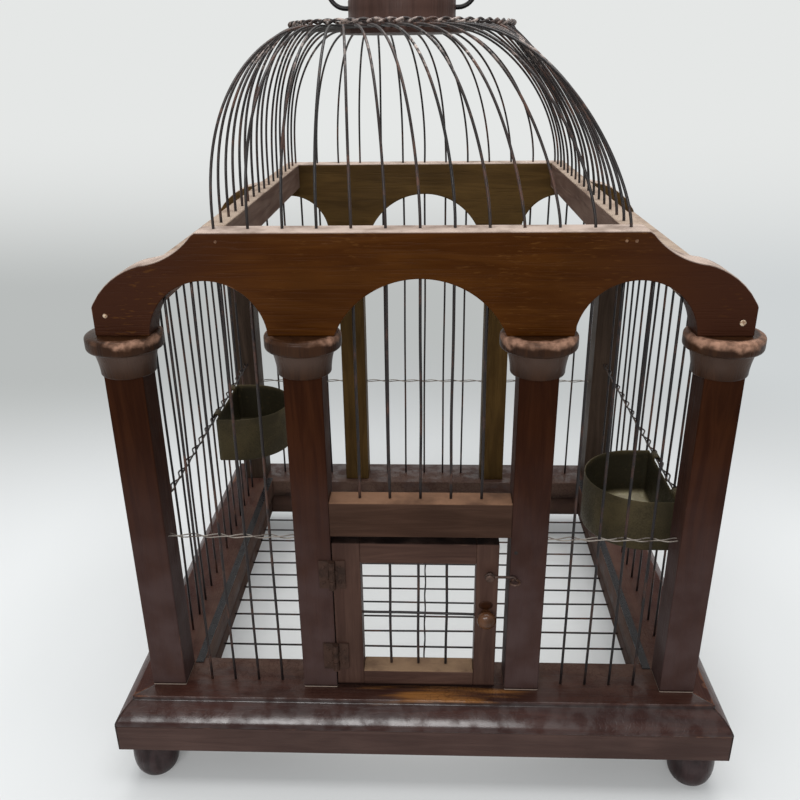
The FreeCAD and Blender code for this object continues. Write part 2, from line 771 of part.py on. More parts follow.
# Door: two stiles, two rails, wires and knob
hinge_line = -inner_face
door_left = hinge_line + s.door_hinge_gap
door_right = inner_face - s.door_latch_gap
door_foot = base_top + s.door_foot_gap
door_top = door_foot + s.door_height
window_left = door_left + s.hinge_stile_width
window_right = door_right - s.latch_stile_width
window_foot = door_foot + s.door_foot_rail
window_top = door_top - s.door_head_rail
window_width = window_right - window_left
STILES = [
    ("door_hinge_stile", door_left, s.hinge_stile_width),
    ("door_latch_stile", window_right, s.latch_stile_width),
]
for label, x, width in STILES:
    keep(box(x, front_face, door_foot, width, s.door_thickness, s.door_height), label)
RAILS = [
    ("door_bottom_rail", door_foot, s.door_foot_rail),
    ("door_top_rail", window_top, s.door_head_rail),
]
for label, z, height in RAILS:
    keep(box(window_left, front_face, z, window_width, s.door_thickness, height), label)
wire_y = front_face + s.door_thickness * 0.6
door_wires = []
for x in even(window_left, window_right, s.door_wires):
    foot = window_foot - s.wire_seat
    door_wires.append(wire(window_top - window_foot + s.wire_seat * 2, x, wire_y, foot))
cross_y = wire_y - s.wire_radius * 1.7
cross_z = (window_foot + window_top) / 2
cross_x = window_left - s.wire_seat
door_wires.append(wire(window_width + s.wire_seat * 2, cross_x, cross_y, cross_z, "X"))
group(door_wires, "door_wires")

KNOB_PROFILE = [
    (size(0), s.knob_radius * 0.4),
    (s.wire_seat, s.knob_radius * 0.55),
    (s.wire_seat + s.knob_length * 0.35, s.knob_radius * 0.5),
    (s.wire_seat + s.knob_length * 0.55, s.knob_radius),
    (s.wire_seat + s.knob_length * 0.82, s.knob_radius * 0.9),
    (s.wire_seat + s.knob_length, s.knob_radius * 0.45),
]
knob_x = door_right - s.latch_stile_width / 2
knob = turned(KNOB_PROFILE, knob_x, front_face + s.wire_seat, base_top + s.knob_rise, "-Y")
keep(knob, "door_knob")

# Butt hinges on the faces of door and column, barrel in front
pin_x = hinge_line + s.door_hinge_gap / 2
pin_y = front_face - s.barrel_radius - s.barrel_gap
knuckle = s.leaf_height / 3
leaf_clear = s.barrel_radius + s.barrel_gap
hinge_feet = [base_top + s.hinge_low, base_top + s.hinge_high]


def leaf(z, sign, knuckles, hole):
    """A leaf with its knuckles; sign gives its side of the barrel, knuckles their places."""
    plate_x = pin_x + leaf_clear if sign > 0 else pin_x - s.leaf_width
    plate_y = front_face - s.leaf_thickness
    plate = box(plate_x, plate_y, z, s.leaf_width - leaf_clear, s.leaf_thickness, s.leaf_height)
    pieces = [plate]
    for index in knuckles:
        foot = z + knuckle * index + s.barrel_gap / 2
        tall = knuckle - s.barrel_gap
        pieces.append(rod(s.barrel_radius, tall, pin_x, pin_y, foot))
        arm_x = pin_x if sign > 0 else pin_x - leaf_clear - 1
        arm_y = pin_y + s.barrel_radius - s.leaf_thickness
        pieces.append(box(arm_x, arm_y, foot, leaf_clear + 1, front_face - arm_y, tall))
    solid = fuse(pieces)
    return cut(solid, hole(z - 1))


def tight_hole(z):
    """The pin's seat in the column's leaf."""
    return bore(s.hinge_pin_radius, s.leaf_height + 2, pin_x, pin_y, z)


def running_hole(z):
    """The hole of the door's leaf, which turns on the pin."""
    return bore(s.hinge_pin_radius + s.pivot_play, s.leaf_height + 2, pin_x, pin_y, z)


group([leaf(z, -1, (0, 2), tight_hole) for z in hinge_feet], "hinge_leaves_column")
group([leaf(z, 1, (1,), running_hole) for z in hinge_feet], "hinge_leaves_door")
pins = []
for z in hinge_feet:
    pin = doc.addObject("Part::Cylinder", "pin")
    bind(pin, Radius=s.hinge_pin_radius, Height=s.leaf_height + 1)
    pins.append(place(pin, pin_x, pin_y, z - 0.5))
group(pins, "hinge_pins")

# Hook on the door: loop round a pivot screw, straight shank, tip turned down over the screw eye
pivot_x = door_right - s.hook_pivot
hook_y = front_face - s.hook_standoff
hook_z = base_top + s.hook_rise
screw_radius = s.hook_wire_radius + 0.3
screw_shank = s.hook_standoff + s.hook_wire_radius + 0.5
SCREW_PROFILE = [
    (size(0), screw_radius),
    (screw_shank + s.wire_seat, screw_radius),
    (screw_shank + s.wire_seat + 0.3, screw_radius * 2.2),
    (screw_shank + s.wire_seat + screw_radius, screw_radius * 1.5),
]
screw_y = front_face + s.wire_seat
pivot_screw = turned(SCREW_PROFILE, pivot_x, screw_y, hook_z, "-Y", s.small_facets)
keep(pivot_screw, "hook_pivot_screw")

loop_radius = screw_radius + s.pivot_play + s.hook_wire_radius * 2
loop_depth = s.hook_wire_radius * 2.4
loop = rod(loop_radius, loop_depth, pivot_x, hook_y + loop_depth / 2, hook_z, "-Y")
shank_x = pivot_x + loop_radius - s.hook_wire_radius
shank_length = s.hook_reach - loop_radius + s.hook_wire_radius * 2
shank = wire(shank_length, shank_x, hook_y, hook_z, "X", s.hook_wire_radius)
tip_x = pivot_x + s.hook_reach
tip_radius = s.hook_wire_radius * 0.8
tip_length = s.hook_tip + s.hook_wire_radius * 0.4
tip = wire(tip_length, tip_x, hook_y, hook_z - s.hook_tip, "Z", tip_radius)
hook_bore = bore(screw_radius + s.pivot_play, size(6), pivot_x, hook_y + 3, hook_z, "-Y")
keep(cut(fuse([loop, shank, tip]), hook_bore), "latch_hook")

catch_z = hook_z - s.hook_tip - s.catch_gap - s.catch_wire_radius
catch = doc.addObject("Part::Feature", "catch")
catch.Shape = wire_ring(Vector(), s.catch_radius.value, s.catch_wire_radius.value, 12)
place(catch, tip_x, hook_y, catch_z)
catch_shank_y = hook_y + s.catch_radius
catch_shank = front_face - catch_shank_y + s.wire_seat
shank_rod = wire(catch_shank, tip_x, catch_shank_y, catch_z, "Y", s.catch_wire_radius * 0.9)
keep(fuse([catch, shank_rod]), "latch_eye")

# Feeder cups: a flat back, a round nose, open above, with two hooks over the tie wire
wall_pitch = (row_y - half_column) * 2 / (s.wall_wires + 1)
cup_top = side_tie_level
tie_inner = tie_x - s.tie_radius
back_x = tie_inner - s.cup_clearance
lip_x = tie_x + s.tie_radius + s.cup_clearance
bridge_z = side_tie_level + s.tie_radius + s.cup_clearance


def cup_shape(inset, z, height):
    """A block with a half-round nose, its flat back on the X axis' zero."""
    straight = s.cup_reach - s.cup_length / 2
    radius = s.cup_length / 2 - inset
    block = box(-straight, -radius, z, straight - inset, radius * 2, height)
    nose = doc.addObject("Part::Cylinder", "nose")
    bind(nose, Radius=radius, Height=height)
    nose.Angle = 180
    place(nose, -straight, 0, z, Rotation(Vector(0, 0, 1), 90))
    return fuse([block, nose])


def cup(sign, middle):
    """A right-hand cup is drawn at the wall, a left-hand one is turned about."""
    foot = cup_top - s.cup_height
    shell = cut(cup_shape(size(0), size(0), s.cup_height), cup_shape(s.cup_wall, s.cup_wall, s.cup_height))
    pieces = [shell]
    for step in (-1.5, 1.5):
        y = wall_pitch * step - s.cup_tab_width / 2
        rise = bridge_z - foot - s.cup_height
        stem = s.cup_height - s.cup_wall * 6
        pieces.append(box(-s.cup_wall, y, stem, s.cup_wall, s.cup_tab_width, rise + s.cup_wall * 7))
        reach = lip_x - back_x + s.cup_wall
        pieces.append(box(size(0), y, s.cup_height + rise, reach, s.cup_tab_width, s.cup_wall))
        drop = rise + s.cup_wall * 3
        lip_z = s.cup_height + rise - drop
        pieces.append(box(reach - s.cup_wall, y, lip_z, s.cup_wall, s.cup_tab_width, drop))
    turn = Rotation(Vector(0, 0, 1), 0 if sign > 0 else 180)
    return place(fuse(pieces), back_x * sign, middle, foot, turn)


first_wall_y = half_column - row_y
keep(cup(1, first_wall_y + wall_pitch * s.right_cup_wire), "right_cup")
keep(cup(-1, first_wall_y + wall_pitch * s.left_cup_wire), "left_cup")

# Check every object, then write the sub-parts
doc.recompute()
faults = []
for item in doc.Objects:
    if "Invalid" in item.State or "Error" in item.State:
        faults.append(item.Name + " " + str(item.State))
for item in NODES:
    if item.Shape.isNull() or not item.Shape.isValid() or not item.Shape.Solids:
        faults.append(item.Label + " has no valid solid")
if faults:
    raise RuntimeError("; ".join(faults))
os.makedirs("parts", exist_ok=True)
for item in NODES:
    item.Shape.exportStep("parts/" + item.Label + ".step")
print(len(NODES), "sub-parts written")
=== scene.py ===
import math

import bmesh
import bpy
import numpy as np
from mathutils import Matrix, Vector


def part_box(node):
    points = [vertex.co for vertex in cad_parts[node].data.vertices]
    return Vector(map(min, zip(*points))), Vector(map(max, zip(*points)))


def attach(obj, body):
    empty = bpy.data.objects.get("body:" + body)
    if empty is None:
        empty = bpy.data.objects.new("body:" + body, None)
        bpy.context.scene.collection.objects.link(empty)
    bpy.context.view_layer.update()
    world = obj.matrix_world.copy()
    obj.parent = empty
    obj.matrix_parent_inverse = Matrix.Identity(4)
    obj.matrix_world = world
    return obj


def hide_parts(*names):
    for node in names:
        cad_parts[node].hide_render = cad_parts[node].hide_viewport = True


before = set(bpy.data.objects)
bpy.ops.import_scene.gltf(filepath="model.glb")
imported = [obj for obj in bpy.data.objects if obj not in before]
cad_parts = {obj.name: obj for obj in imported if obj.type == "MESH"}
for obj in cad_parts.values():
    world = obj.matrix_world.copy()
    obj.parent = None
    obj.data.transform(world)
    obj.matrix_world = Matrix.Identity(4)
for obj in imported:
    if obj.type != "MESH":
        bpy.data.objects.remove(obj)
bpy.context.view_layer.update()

# Sizes in millimetres: X to the right, Y to the back, Z up from the soles of the feet
MM = 0.001
FOOT_HEIGHT = 30.5
FOOT_RADIUS = 15.0
FOOT_FLAT = 8.0
FOOT_X = 179.5
FOOT_Y = 160.3
BASE_LENGTH = 394.0
BASE_DEPTH = 355.6
FASCIA_HEIGHT = 20.0
FASCIA_WIDTH = 46.0
MOULDING_HEIGHT = 16.0
MOULDING_WIDTH = 49.0
MOULDING_SETBACK = 10.5
MOULDING_QUIRK = 2.5
MOULDING_FILLET = 2.0
MOULDING_RADIUS = 40.0
MOULDING_FOOT = FOOT_HEIGHT + FASCIA_HEIGHT
BASE_TOP = MOULDING_FOOT + MOULDING_HEIGHT
COLUMN_X = (-165.0, -65.1, 65.1, 165.0)
ROW_Y = 145.7
COLUMN_HALF = 10.9
FRONT_FACE = -ROW_Y - COLUMN_HALF
CAPITAL_FOOT = BASE_TOP + 220.0
CAPITAL_HEIGHT = 20.3
DISC_FOOT = 11.0
DISC_LEVEL = (CAPITAL_FOOT + DISC_FOOT) * MM
NECK_LAP = 3.6
NECK_ROUND = 1.4
NECK_RADIUS = 15.3
NECK_FLARE = 2.3
BOARD_FOOT = CAPITAL_FOOT + CAPITAL_HEIGHT
BOARD_HEIGHT = 56.1
BOARD_TOP = BOARD_FOOT + BOARD_HEIGHT
BOARD_HALF = 177.4
BOARD_THICK = 18.9
BOARD_FACE = -ROW_Y - BOARD_THICK / 2
SHOULDER_START = 118.0
SHOULDER_TURN = (148.8, 38.9)
SHOULDER_END = (BOARD_HALF, 16.2)
SHOULDER_RADIUS = 45.0
SMALL_ARCH = (32.5, 30.4)
WIDE_ARCH = (50.3, 31.3)
SMALL_ARCH_X = 115.05
SMALL_BAY_HALF = (COLUMN_X[3] - COLUMN_X[2]) / 2 - COLUMN_HALF
WIDE_BAY_HALF = COLUMN_X[2] - COLUMN_HALF
WIRE_RADIUS = 0.84
FLOOR_WIRE_RADIUS = 0.74
DOME_WIRE_RADIUS = 0.8
SEAT = 3.0
BAY_Y = 149.6
FRONT_TIE = BASE_TOP + 111.0
SIDE_TIE = BASE_TOP + 119.0
BACK_TIE = BASE_TOP + 97.0
WALL_X = 165.0
WALL_HALF = ROW_Y - COLUMN_HALF
WALL_WIRES = 14
WALL_PITCH = 2 * WALL_HALF / (WALL_WIRES + 1)
HEADER_TOP = BASE_TOP + 138.0
FLOOR_LEVEL = FOOT_HEIGHT + 3.2
FLOOR_HALF = BASE_LENGTH / 2 - FASCIA_WIDTH + SEAT
FLOOR_WIRES = 13
OPENING_HALF = BASE_DEPTH / 2 - MOULDING_WIDTH
BINDER_X = 2.0
BINDER_HALF = BASE_DEPTH / 2 - FASCIA_WIDTH + SEAT
HUB_X = -13.3
HUB_WIRE_END = 36.0
RING_LEVEL = BOARD_TOP + 99.1
RING_RADIUS = 70.5
HUB_FOOT = RING_LEVEL - 3.5
BAIL_LEVEL = HUB_FOOT + 15.0
BAIL_RADIUS = 1.45
RING_STRAND = 0.85
RING_TWIST = 0.95
DOOR_FOOT = BASE_TOP + 2.5
DOOR_WINDOW = (-36.6, 33.9, 81.0, 163.0)
PANE_Y = -148.2
CROSS_Y = -150.07
CROSS_ENDS = (122.6, 121.2)
KNOB_PLACE = (40.7, FRONT_FACE + SEAT, 126.8)
DARK_PATCH_PLACE = (40.4, FRONT_FACE, 133.2)
OLD_HOLE_PLACE = (57.4, FRONT_FACE, 171.4)
HINGE_SCREW_X = {"cage": -59.0, "door": -49.2}
HINGE_SCREW_LEVELS = (87.5, 98.5, 149.5, 160.5)
HINGE_SCREW_Y = FRONT_FACE - 0.95
HOOK_PIVOT = (41.9, -160.2, 156.5)
HOOK_TIP_X = 57.2
HOOK_BEND = 1.3
EYE_LEVEL = 152.7
EYE_RADIUS = 2.8
CUP_HEIGHT = 36.0
CUP_FOOT = SIDE_TIE - CUP_HEIGHT
CUP_HALF = 38.0
CUP_STRAIGHT = 14.0
CUP_HEART = (-24.0, 0.0)
CUP_BACK_X = 162.15
CUP_MIDDLE = {"right": -80.88, "left": 44.93}
TAB_HALF = 4.5


# Mesh tools
def patch(points, wrap=True, **marks):
    """A grid of points in millimetres; each mark is one value, or a grid of values, kept on the points."""
    points = np.asarray(points, dtype=float)
    shape = points.shape[:2]
    return points, wrap, {key: np.broadcast_to(value, shape) for key, value in marks.items()}


def quads(rows, columns, wrap):
    """Corner numbers of a grid's faces; with wrap the last column joins the first."""
    across = columns if wrap else columns - 1
    row, column = np.meshgrid(np.arange(rows - 1), np.arange(across), indexing="ij")
    first = row * columns + column
    second = row * columns + (column + 1) % columns
    return np.stack([first, second, second + columns, first + columns], axis=-1).reshape(-1, 4)


def piece(name, patches, body, finish, replaced=(), flat=False):
    """One object from several patches: the grids' faces, doubles merged, every face turned outwards."""
    points = np.concatenate([grid.reshape(-1, 3) for grid, wrap, marks in patches]) * MM
    counts = [grid.shape[0] * grid.shape[1] for grid, wrap, marks in patches]
    starts = np.concatenate([[0], np.cumsum(counts)[:-1]])
    faces = [quads(*item[0].shape[:2], item[1]) + start for item, start in zip(patches, starts)]
    mesh = bpy.data.meshes.new(name)
    mesh.from_pydata(points.tolist(), [], np.concatenate(faces).tolist())
    for key in patches[0][2]:
        values = np.concatenate([marks[key].reshape(-1) for grid, wrap, marks in patches])
        mesh.attributes.new(key, "FLOAT", "POINT").data.foreach_set("value", values.astype(np.float32))
    work = bmesh.new()
    work.from_mesh(mesh)
    bmesh.ops.remove_doubles(work, verts=work.verts, dist=2e-6)
    bmesh.ops.recalc_face_normals(work, faces=work.faces)
    work.to_mesh(mesh)
    work.free()
    mesh.polygons.foreach_set("use_smooth", np.ones(len(mesh.polygons), dtype=bool))
    mesh.materials.append(finish)
    item = bpy.data.objects.new(name, mesh)
    bpy.context.scene.collection.objects.link(item)
    if flat:
        weight = item.modifiers.new("face_weight", "WEIGHTED_NORMAL")
        weight.weight = 100
    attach(item, body)
    if replaced:
        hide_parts(*replaced)
    return item


def unit(vectors):
    """Vectors scaled to length one."""
    return vectors / np.linalg.norm(vectors, axis=-1, keepdims=True)


def even(low, high, count):
    """Evenly spaced places between two faces, none on the faces themselves."""
    return low + (high - low) * np.arange(1, count + 1) / (count + 1)


def rounded_outline(half_b, half_c, radius):
    """A rounded rectangle: points on an inner rectangle, and the way outwards from each of them."""
    signs = np.array([(1, 1), (-1, 1), (-1, -1), (1, -1)], dtype=float)
    inner = signs * np.array([half_b - radius, half_c - radius])
    base = []
    way = []
    for quarter in range(4):
        start = inner[quarter]
        end = inner[(quarter + 1) % 4]
        turn = np.radians(np.linspace(0, 90, 4) + 90 * quarter)
        length = np.linalg.norm(end - start)
        margins = np.array([margin for margin in (1.5, 4.0, 9.0) if margin < length * 0.45])
        shares = np.concatenate([margins, length - margins[::-1]]) / length
        base.append(np.repeat(start[None], 4, axis=0))
        way.append(np.stack([np.cos(turn), np.sin(turn)], axis=1))
        base.append(start + (end - start) * shares[:, None])
        way.append(np.repeat(way[-1][-1:], len(shares), axis=0))
    return np.concatenate(base), np.concatenate(way)


def end_stations(low, high, radius, inner):
    """Places along a bar and the share of its corner radius at each, rounded over at both ends."""
    turn = np.radians(np.linspace(90, 0, 4))
    start = low + radius - radius * np.sin(turn)
    finish = high - radius + radius * np.sin(turn[::-1])
    share = np.concatenate([np.cos(turn), np.ones(len(inner)), np.cos(turn[::-1])])
    return np.concatenate([start, inner, finish]), share


def edge_distance(points, low, high):
    """Distance from the nearest edge of a box: the second smallest of the distances to its faces."""
    gaps = np.minimum(points - low, high - points)
    return np.sort(gaps, axis=-1)[..., 1].clip(0, 20)


def bar(low, high, axis, radius=0.7):
    """A straight bar: a rounded rectangle carried along one axis, its ends rounded over and closed."""
    low = np.asarray(low, dtype=float)
    high = np.asarray(high, dtype=float)
    cross = [index for index in range(3) if index != axis]
    middle = (low + high) / 2
    half = (high - low) / 2
    base, way = rounded_outline(half[cross[0]], half[cross[1]], radius)
    length = high[axis] - low[axis]
    margins = np.array([margin for margin in (1.5, 4.0, 9.0) if margin < length * 0.45])
    inner = np.concatenate([low[axis] + radius + margins, high[axis] - radius - margins[::-1]])
    station, share = end_stations(low[axis], high[axis], radius, inner)
    points = np.zeros((len(station), len(base), 3))
    points[..., axis] = station[:, None]
    for column, index in enumerate(cross):
        points[..., index] = middle[index] + base[:, column] + way[:, column] * radius * share[:, None]
    first = points[:1].copy()
    last = points[-1:].copy()
    for index in cross:
        first[..., index] = middle[index]
        last[..., index] = middle[index]
    points = np.concatenate([first, points, last])
    top = (1 - (high[2] - points[..., 2]) / radius).clip(0, 1)
    return patch(points, edge=edge_distance(points, low, high), top=top)


def lathe(profile, centre, axis="Z", sides=64):
    """A turned piece: a profile of (height, radius, edge distance) carried round its axis."""
    profile = np.asarray(profile, dtype=float)
    turn = np.linspace(0, 2 * math.pi, sides, endpoint=False)
    height = np.repeat(profile[:, :1], sides, axis=1)
    one = profile[:, 1:2] * np.cos(turn)
    other = profile[:, 1:2] * np.sin(turn)
    order = {"Z": (one, other, height), "-Y": (one, -height, other), "X": (height, one, other)}[axis]
    points = np.stack(order, axis=-1) + np.asarray(centre, dtype=float)
    return patch(points, edge=profile[:, 2:3], top=0.0)


def curve(height, radius, reach, start, stop, steps=7, edge=9.0):
    """Part of a circle as profile rows; angles run from straight out (0) to straight up (90)."""
    turn = np.radians(np.linspace(start, stop, steps))
    rows = [height + reach * np.sin(turn), radius + reach * np.cos(turn), np.full(steps, edge)]
    return np.stack(rows, axis=1)


def rows(*items):
    """Profile rows, single ones and arrays of them, one after the other."""
    return np.concatenate([np.atleast_2d(np.asarray(item, dtype=float)) for item in items])


def tube(path, radius, side, sides=8, closed=False, **marks):
    """A round wire: a circle carried along a path and square to it; side is a direction across the path."""
    path = np.asarray(path, dtype=float)
    if closed:
        ahead = unit(np.roll(path, -1, axis=0) - np.roll(path, 1, axis=0))
    else:
        ahead = unit(np.gradient(path, axis=0))
    rise = unit(np.cross(ahead, np.broadcast_to(side, path.shape)))
    level = np.cross(rise, ahead)
    turn = np.linspace(0, 2 * math.pi, sides, endpoint=False)[:, None]
    reach = np.broadcast_to(radius, len(path))[:, None, None]
    ring = path[:, None] + reach * (np.cos(turn) * level[:, None] + np.sin(turn) * rise[:, None])
    if closed:
        points = np.concatenate([ring, ring[:1]])
    else:
        caps = np.repeat(path[[0, -1], None], sides, axis=1)
        points = np.concatenate([caps[:1], ring, caps[1:]])
    return patch(points, **marks)


def sway(path, seed, amount, one=(1, 0, 0), other=(0, 1, 0)):
    """A hand-bent path: two slow waves of random phase move it sideways, nothing moves at its ends."""
    chance = np.random.RandomState(seed)
    share = np.linspace(0, 1, len(path))[:, None]
    hold = np.sin(math.pi * share) ** 0.7
    moved = np.array(path, dtype=float)
    for way in (one, other):
        phase = chance.uniform(0, 2 * math.pi, 2)
        reach = chance.uniform(0.3, 1.0, 2)
        wave = reach[0] * np.sin(2.6 * share + phase[0]) + 0.4 * reach[1] * np.sin(9.0 * share + phase[1])
        moved = moved + amount * hold * wave * np.asarray(way, dtype=float)
    return moved


def line(start, end, count=24):
    """Points of a straight run."""
    share = np.linspace(0, 1, count)[:, None]
    return np.asarray(start, dtype=float) * (1 - share) + np.asarray(end, dtype=float) * share


def wire_tone(seed):
    """A value from 0 to 1 that is one wire's own."""
    return float(np.random.RandomState(seed).uniform(0, 1))


# Shader tools
def tone(red, green, blue):
    """A colour written as screen values from 0 to 255, as linear light."""
    value = np.array([red, green, blue]) / 255
    linear = np.where(value <= 0.04045, value / 12.92, ((value + 0.055) / 1.055) ** 2.4)
    return (*linear.tolist(), 1.0)


class Recipe:
    """A node tree in the making; each call adds one node and links or sets its inputs."""

    def __init__(self, tree):
        self.tree = tree

    def node(self, kind, inputs=None, **settings):
        item = self.tree.nodes.new("ShaderNode" + kind)
        for key, value in settings.items():
            setattr(item, key, value)
        for key, value in (inputs or {}).items():
            if isinstance(value, bpy.types.NodeSocket):
                self.tree.links.new(value, item.inputs[key])
            else:
                item.inputs[key].default_value = value
        return item

    def math(self, operation, first, second=0.5, clamp=False):
        item = self.node("Math", {0: first, 1: second}, operation=operation, use_clamp=clamp)
        return item.outputs[0]

    def blend(self, share, first, second):
        item = self.node("Mix", {0: share, 6: first, 7: second}, data_type="RGBA")
        return item.outputs[2]

    def remap(self, value, low, high, start=0.0, stop=1.0):
        keys = {"Value": value, "From Min": low, "From Max": high, "To Min": start, "To Max": stop}
        return self.node("MapRange", keys, interpolation_type="SMOOTHSTEP").outputs[0]

    def noise(self, vector, scale, detail=3.0, distortion=0.0):
        keys = {"Vector": vector, "Scale": scale, "Detail": detail, "Distortion": distortion}
        return self.node("TexNoise", keys).outputs["Fac"]

    def mark(self, name):
        return self.node("Attribute", attribute_name=name).outputs["Fac"]

    def place(self, vector, scale, turn=(0, 0, 0), shift=(0, 0, 0)):
        keys = {"Vector": vector, "Scale": scale, "Rotation": turn, "Location": shift}
        return self.node("Mapping", keys).outputs[0]

    def effect(self, group, inputs):
        return self.node("Group", inputs, node_tree=group).outputs


def effect_group(name, inputs, outputs, fill):
    """A shader node group with named inputs and outputs; fill adds its nodes and returns its results."""
    tree = bpy.data.node_groups.new(name, "ShaderNodeTree")
    for label, kind in inputs:
        tree.interface.new_socket(label, in_out="INPUT", socket_type="NodeSocket" + kind)
    for label, kind in outputs:
        tree.interface.new_socket(label, in_out="OUTPUT", socket_type="NodeSocket" + kind)
    start = tree.nodes.new("NodeGroupInput")
    end = tree.nodes.new("NodeGroupOutput")
    for label, value in fill(Recipe(tree), start.outputs).items():
        tree.links.new(value, end.inputs[label])
    return tree


def fill_figure(recipe, given):
    """Wood figure: slow bands drawn out along the grain, with short dark pores over them."""
    bands = recipe.noise(given["Vector"], 1.0, 4.0, 0.9)
    ripple = recipe.math("PINGPONG", recipe.math("MULTIPLY", bands, 5.0), 1.0)
    pores = recipe.noise(recipe.place(given["Vector"], (2.5, 7.0, 7.0)), 1.0, 2.0)
    pits = recipe.remap(pores, 0.52, 0.68)
    base = recipe.blend(ripple, given["Deep"], given["Warm"])
    cloud = recipe.remap(recipe.noise(given["Place"], 22.0, 3.0), 0.3, 0.7, 0.86, 1.12)
    shaded = recipe.node("VectorMath", {0: base, "Scale": cloud}, operation="SCALE").outputs[0]
    colour = recipe.blend(recipe.math("MULTIPLY", pits, 0.3), shaded, given["Deep"])
    height = recipe.math("SUBTRACT", recipe.math("MULTIPLY", ripple, 0.35), pits)
    return {"Color": colour, "Height": height}


def fill_wear(recipe, given):
    """Edge wear: rubbed through near an edge, as far in as a rough noise lets it."""
    rough = recipe.noise(given["Place"], 130.0, 5.0)
    slow = recipe.noise(given["Place"], 26.0, 2.0)
    reach = recipe.math("MULTIPLY", recipe.remap(slow, 0.38, 0.72), given["Reach"])
    limit = recipe.math("MULTIPLY", reach, recipe.remap(rough, 0.25, 0.75, 0.2, 1.5))
    gap = recipe.math("SUBTRACT", limit, given["Edge"])
    rubbed = recipe.remap(recipe.noise(given["Place"], 320.0, 4.0), 0.3, 0.65, 0.45, 1.0)
    return {"Mask": recipe.math("MULTIPLY", recipe.remap(gap, 0.0, 1.3), rubbed)}


def fill_dust_and_shade(recipe, given):
    """Dust and bare wood on upward faces, broken up by noise; on the door's tops the same mask paints shade.
    """
    cover = recipe.remap(recipe.noise(given["Place"], 60.0, 5.0), 0.25, 0.6, 0.35, 1.0)
    return {"Mask": recipe.math("MULTIPLY", given["Top"], cover)}


def fill_crackle(recipe, given):
    """Crackled varnish: cell walls of a warped Voronoi pattern as fine lines, and its cushions as height."""
    warp = recipe.node("TexNoise", {"Vector": given["Place"], "Scale": 70.0, "Detail": 3.0}).outputs["Color"]
    shifted = recipe.node("VectorMath", {0: warp, 1: (0.012, 0.012, 0.012)}, operation="MULTIPLY").outputs[0]
    warped = recipe.node("VectorMath", {0: given["Place"], 1: shifted}, operation="ADD").outputs[0]
    keys = {"Vector": warped, "Scale": given["Scale"]}
    wall = recipe.node("TexVoronoi", keys, feature="DISTANCE_TO_EDGE").outputs["Distance"]
    lumps = recipe.noise(warped, 190.0, 4.0)
    zone = recipe.remap(recipe.noise(given["Place"], 17.0, 2.0), 0.36, 0.52)
    lines = recipe.math("MULTIPLY", recipe.remap(wall, 0.0, 0.09, 1.0, 0.0), zone)
    height = recipe.math("MULTIPLY", recipe.math("ADD", recipe.remap(wall, 0.0, 0.2), lumps), zone)
    return {"Lines": lines, "Height": height}


def fill_patina(recipe, given):
    """Patches of tarnish, rust or chipped paint at two scales, with a fine pitted height."""
    broad = recipe.noise(given["Place"], given["Scale"], 4.0, 0.4)
    fine = recipe.noise(given["Place"], 900.0, 3.0)
    mixed = recipe.math("ADD", recipe.math("MULTIPLY", broad, 0.75), recipe.math("MULTIPLY", fine, 0.25))
    return {"Mask": recipe.remap(mixed, given["Start"], given["Stop"]), "Height": fine}


figure_group = effect_group(
    "wood_figure",
    [("Vector", "Vector"), ("Place", "Vector"), ("Deep", "Color"), ("Warm", "Color")],
    [("Color", "Color"), ("Height", "Float")],
    fill_figure,
)
wear_group = effect_group(
    "edge_wear", [("Edge", "Float"), ("Place", "Vector"), ("Reach", "Float")], [("Mask", "Float")], fill_wear
)
dust_and_shade_group = effect_group(
    "settled_dust_and_shade", [("Top", "Float"), ("Place", "Vector")], [("Mask", "Float")], fill_dust_and_shade
)
crackle_group = effect_group(
    "crackled_varnish",
    [("Place", "Vector"), ("Scale", "Float")],
    [("Lines", "Float"), ("Height", "Float")],
    fill_crackle,
)
patina_group = effect_group(
    "metal_patina",
    [("Place", "Vector"), ("Scale", "Float"), ("Start", "Float"), ("Stop", "Float")],
    [("Mask", "Float"), ("Height", "Float")],
    fill_patina,
)

# Scale and turn that draw the figure out along a piece
GRAIN = {
    "X": ((11.0, 120.0, 120.0), (0, 0, 0)),
    "Y": ((120.0, 11.0, 120.0), (0, 0, math.pi / 2)),
    "Z": ((120.0, 120.0, 11.0), (0, math.pi / 2, 0)),
}


def new_material(name):
    """An empty material: its recipe, its shader and the place on the piece."""
    material = bpy.data.materials.new(name)
    material.use_nodes = True
    recipe = Recipe(material.node_tree)
    shader = material.node_tree.nodes["Principled BSDF"]
    place = recipe.node("TexCoord").outputs["Object"]
    return material, recipe, shader, place


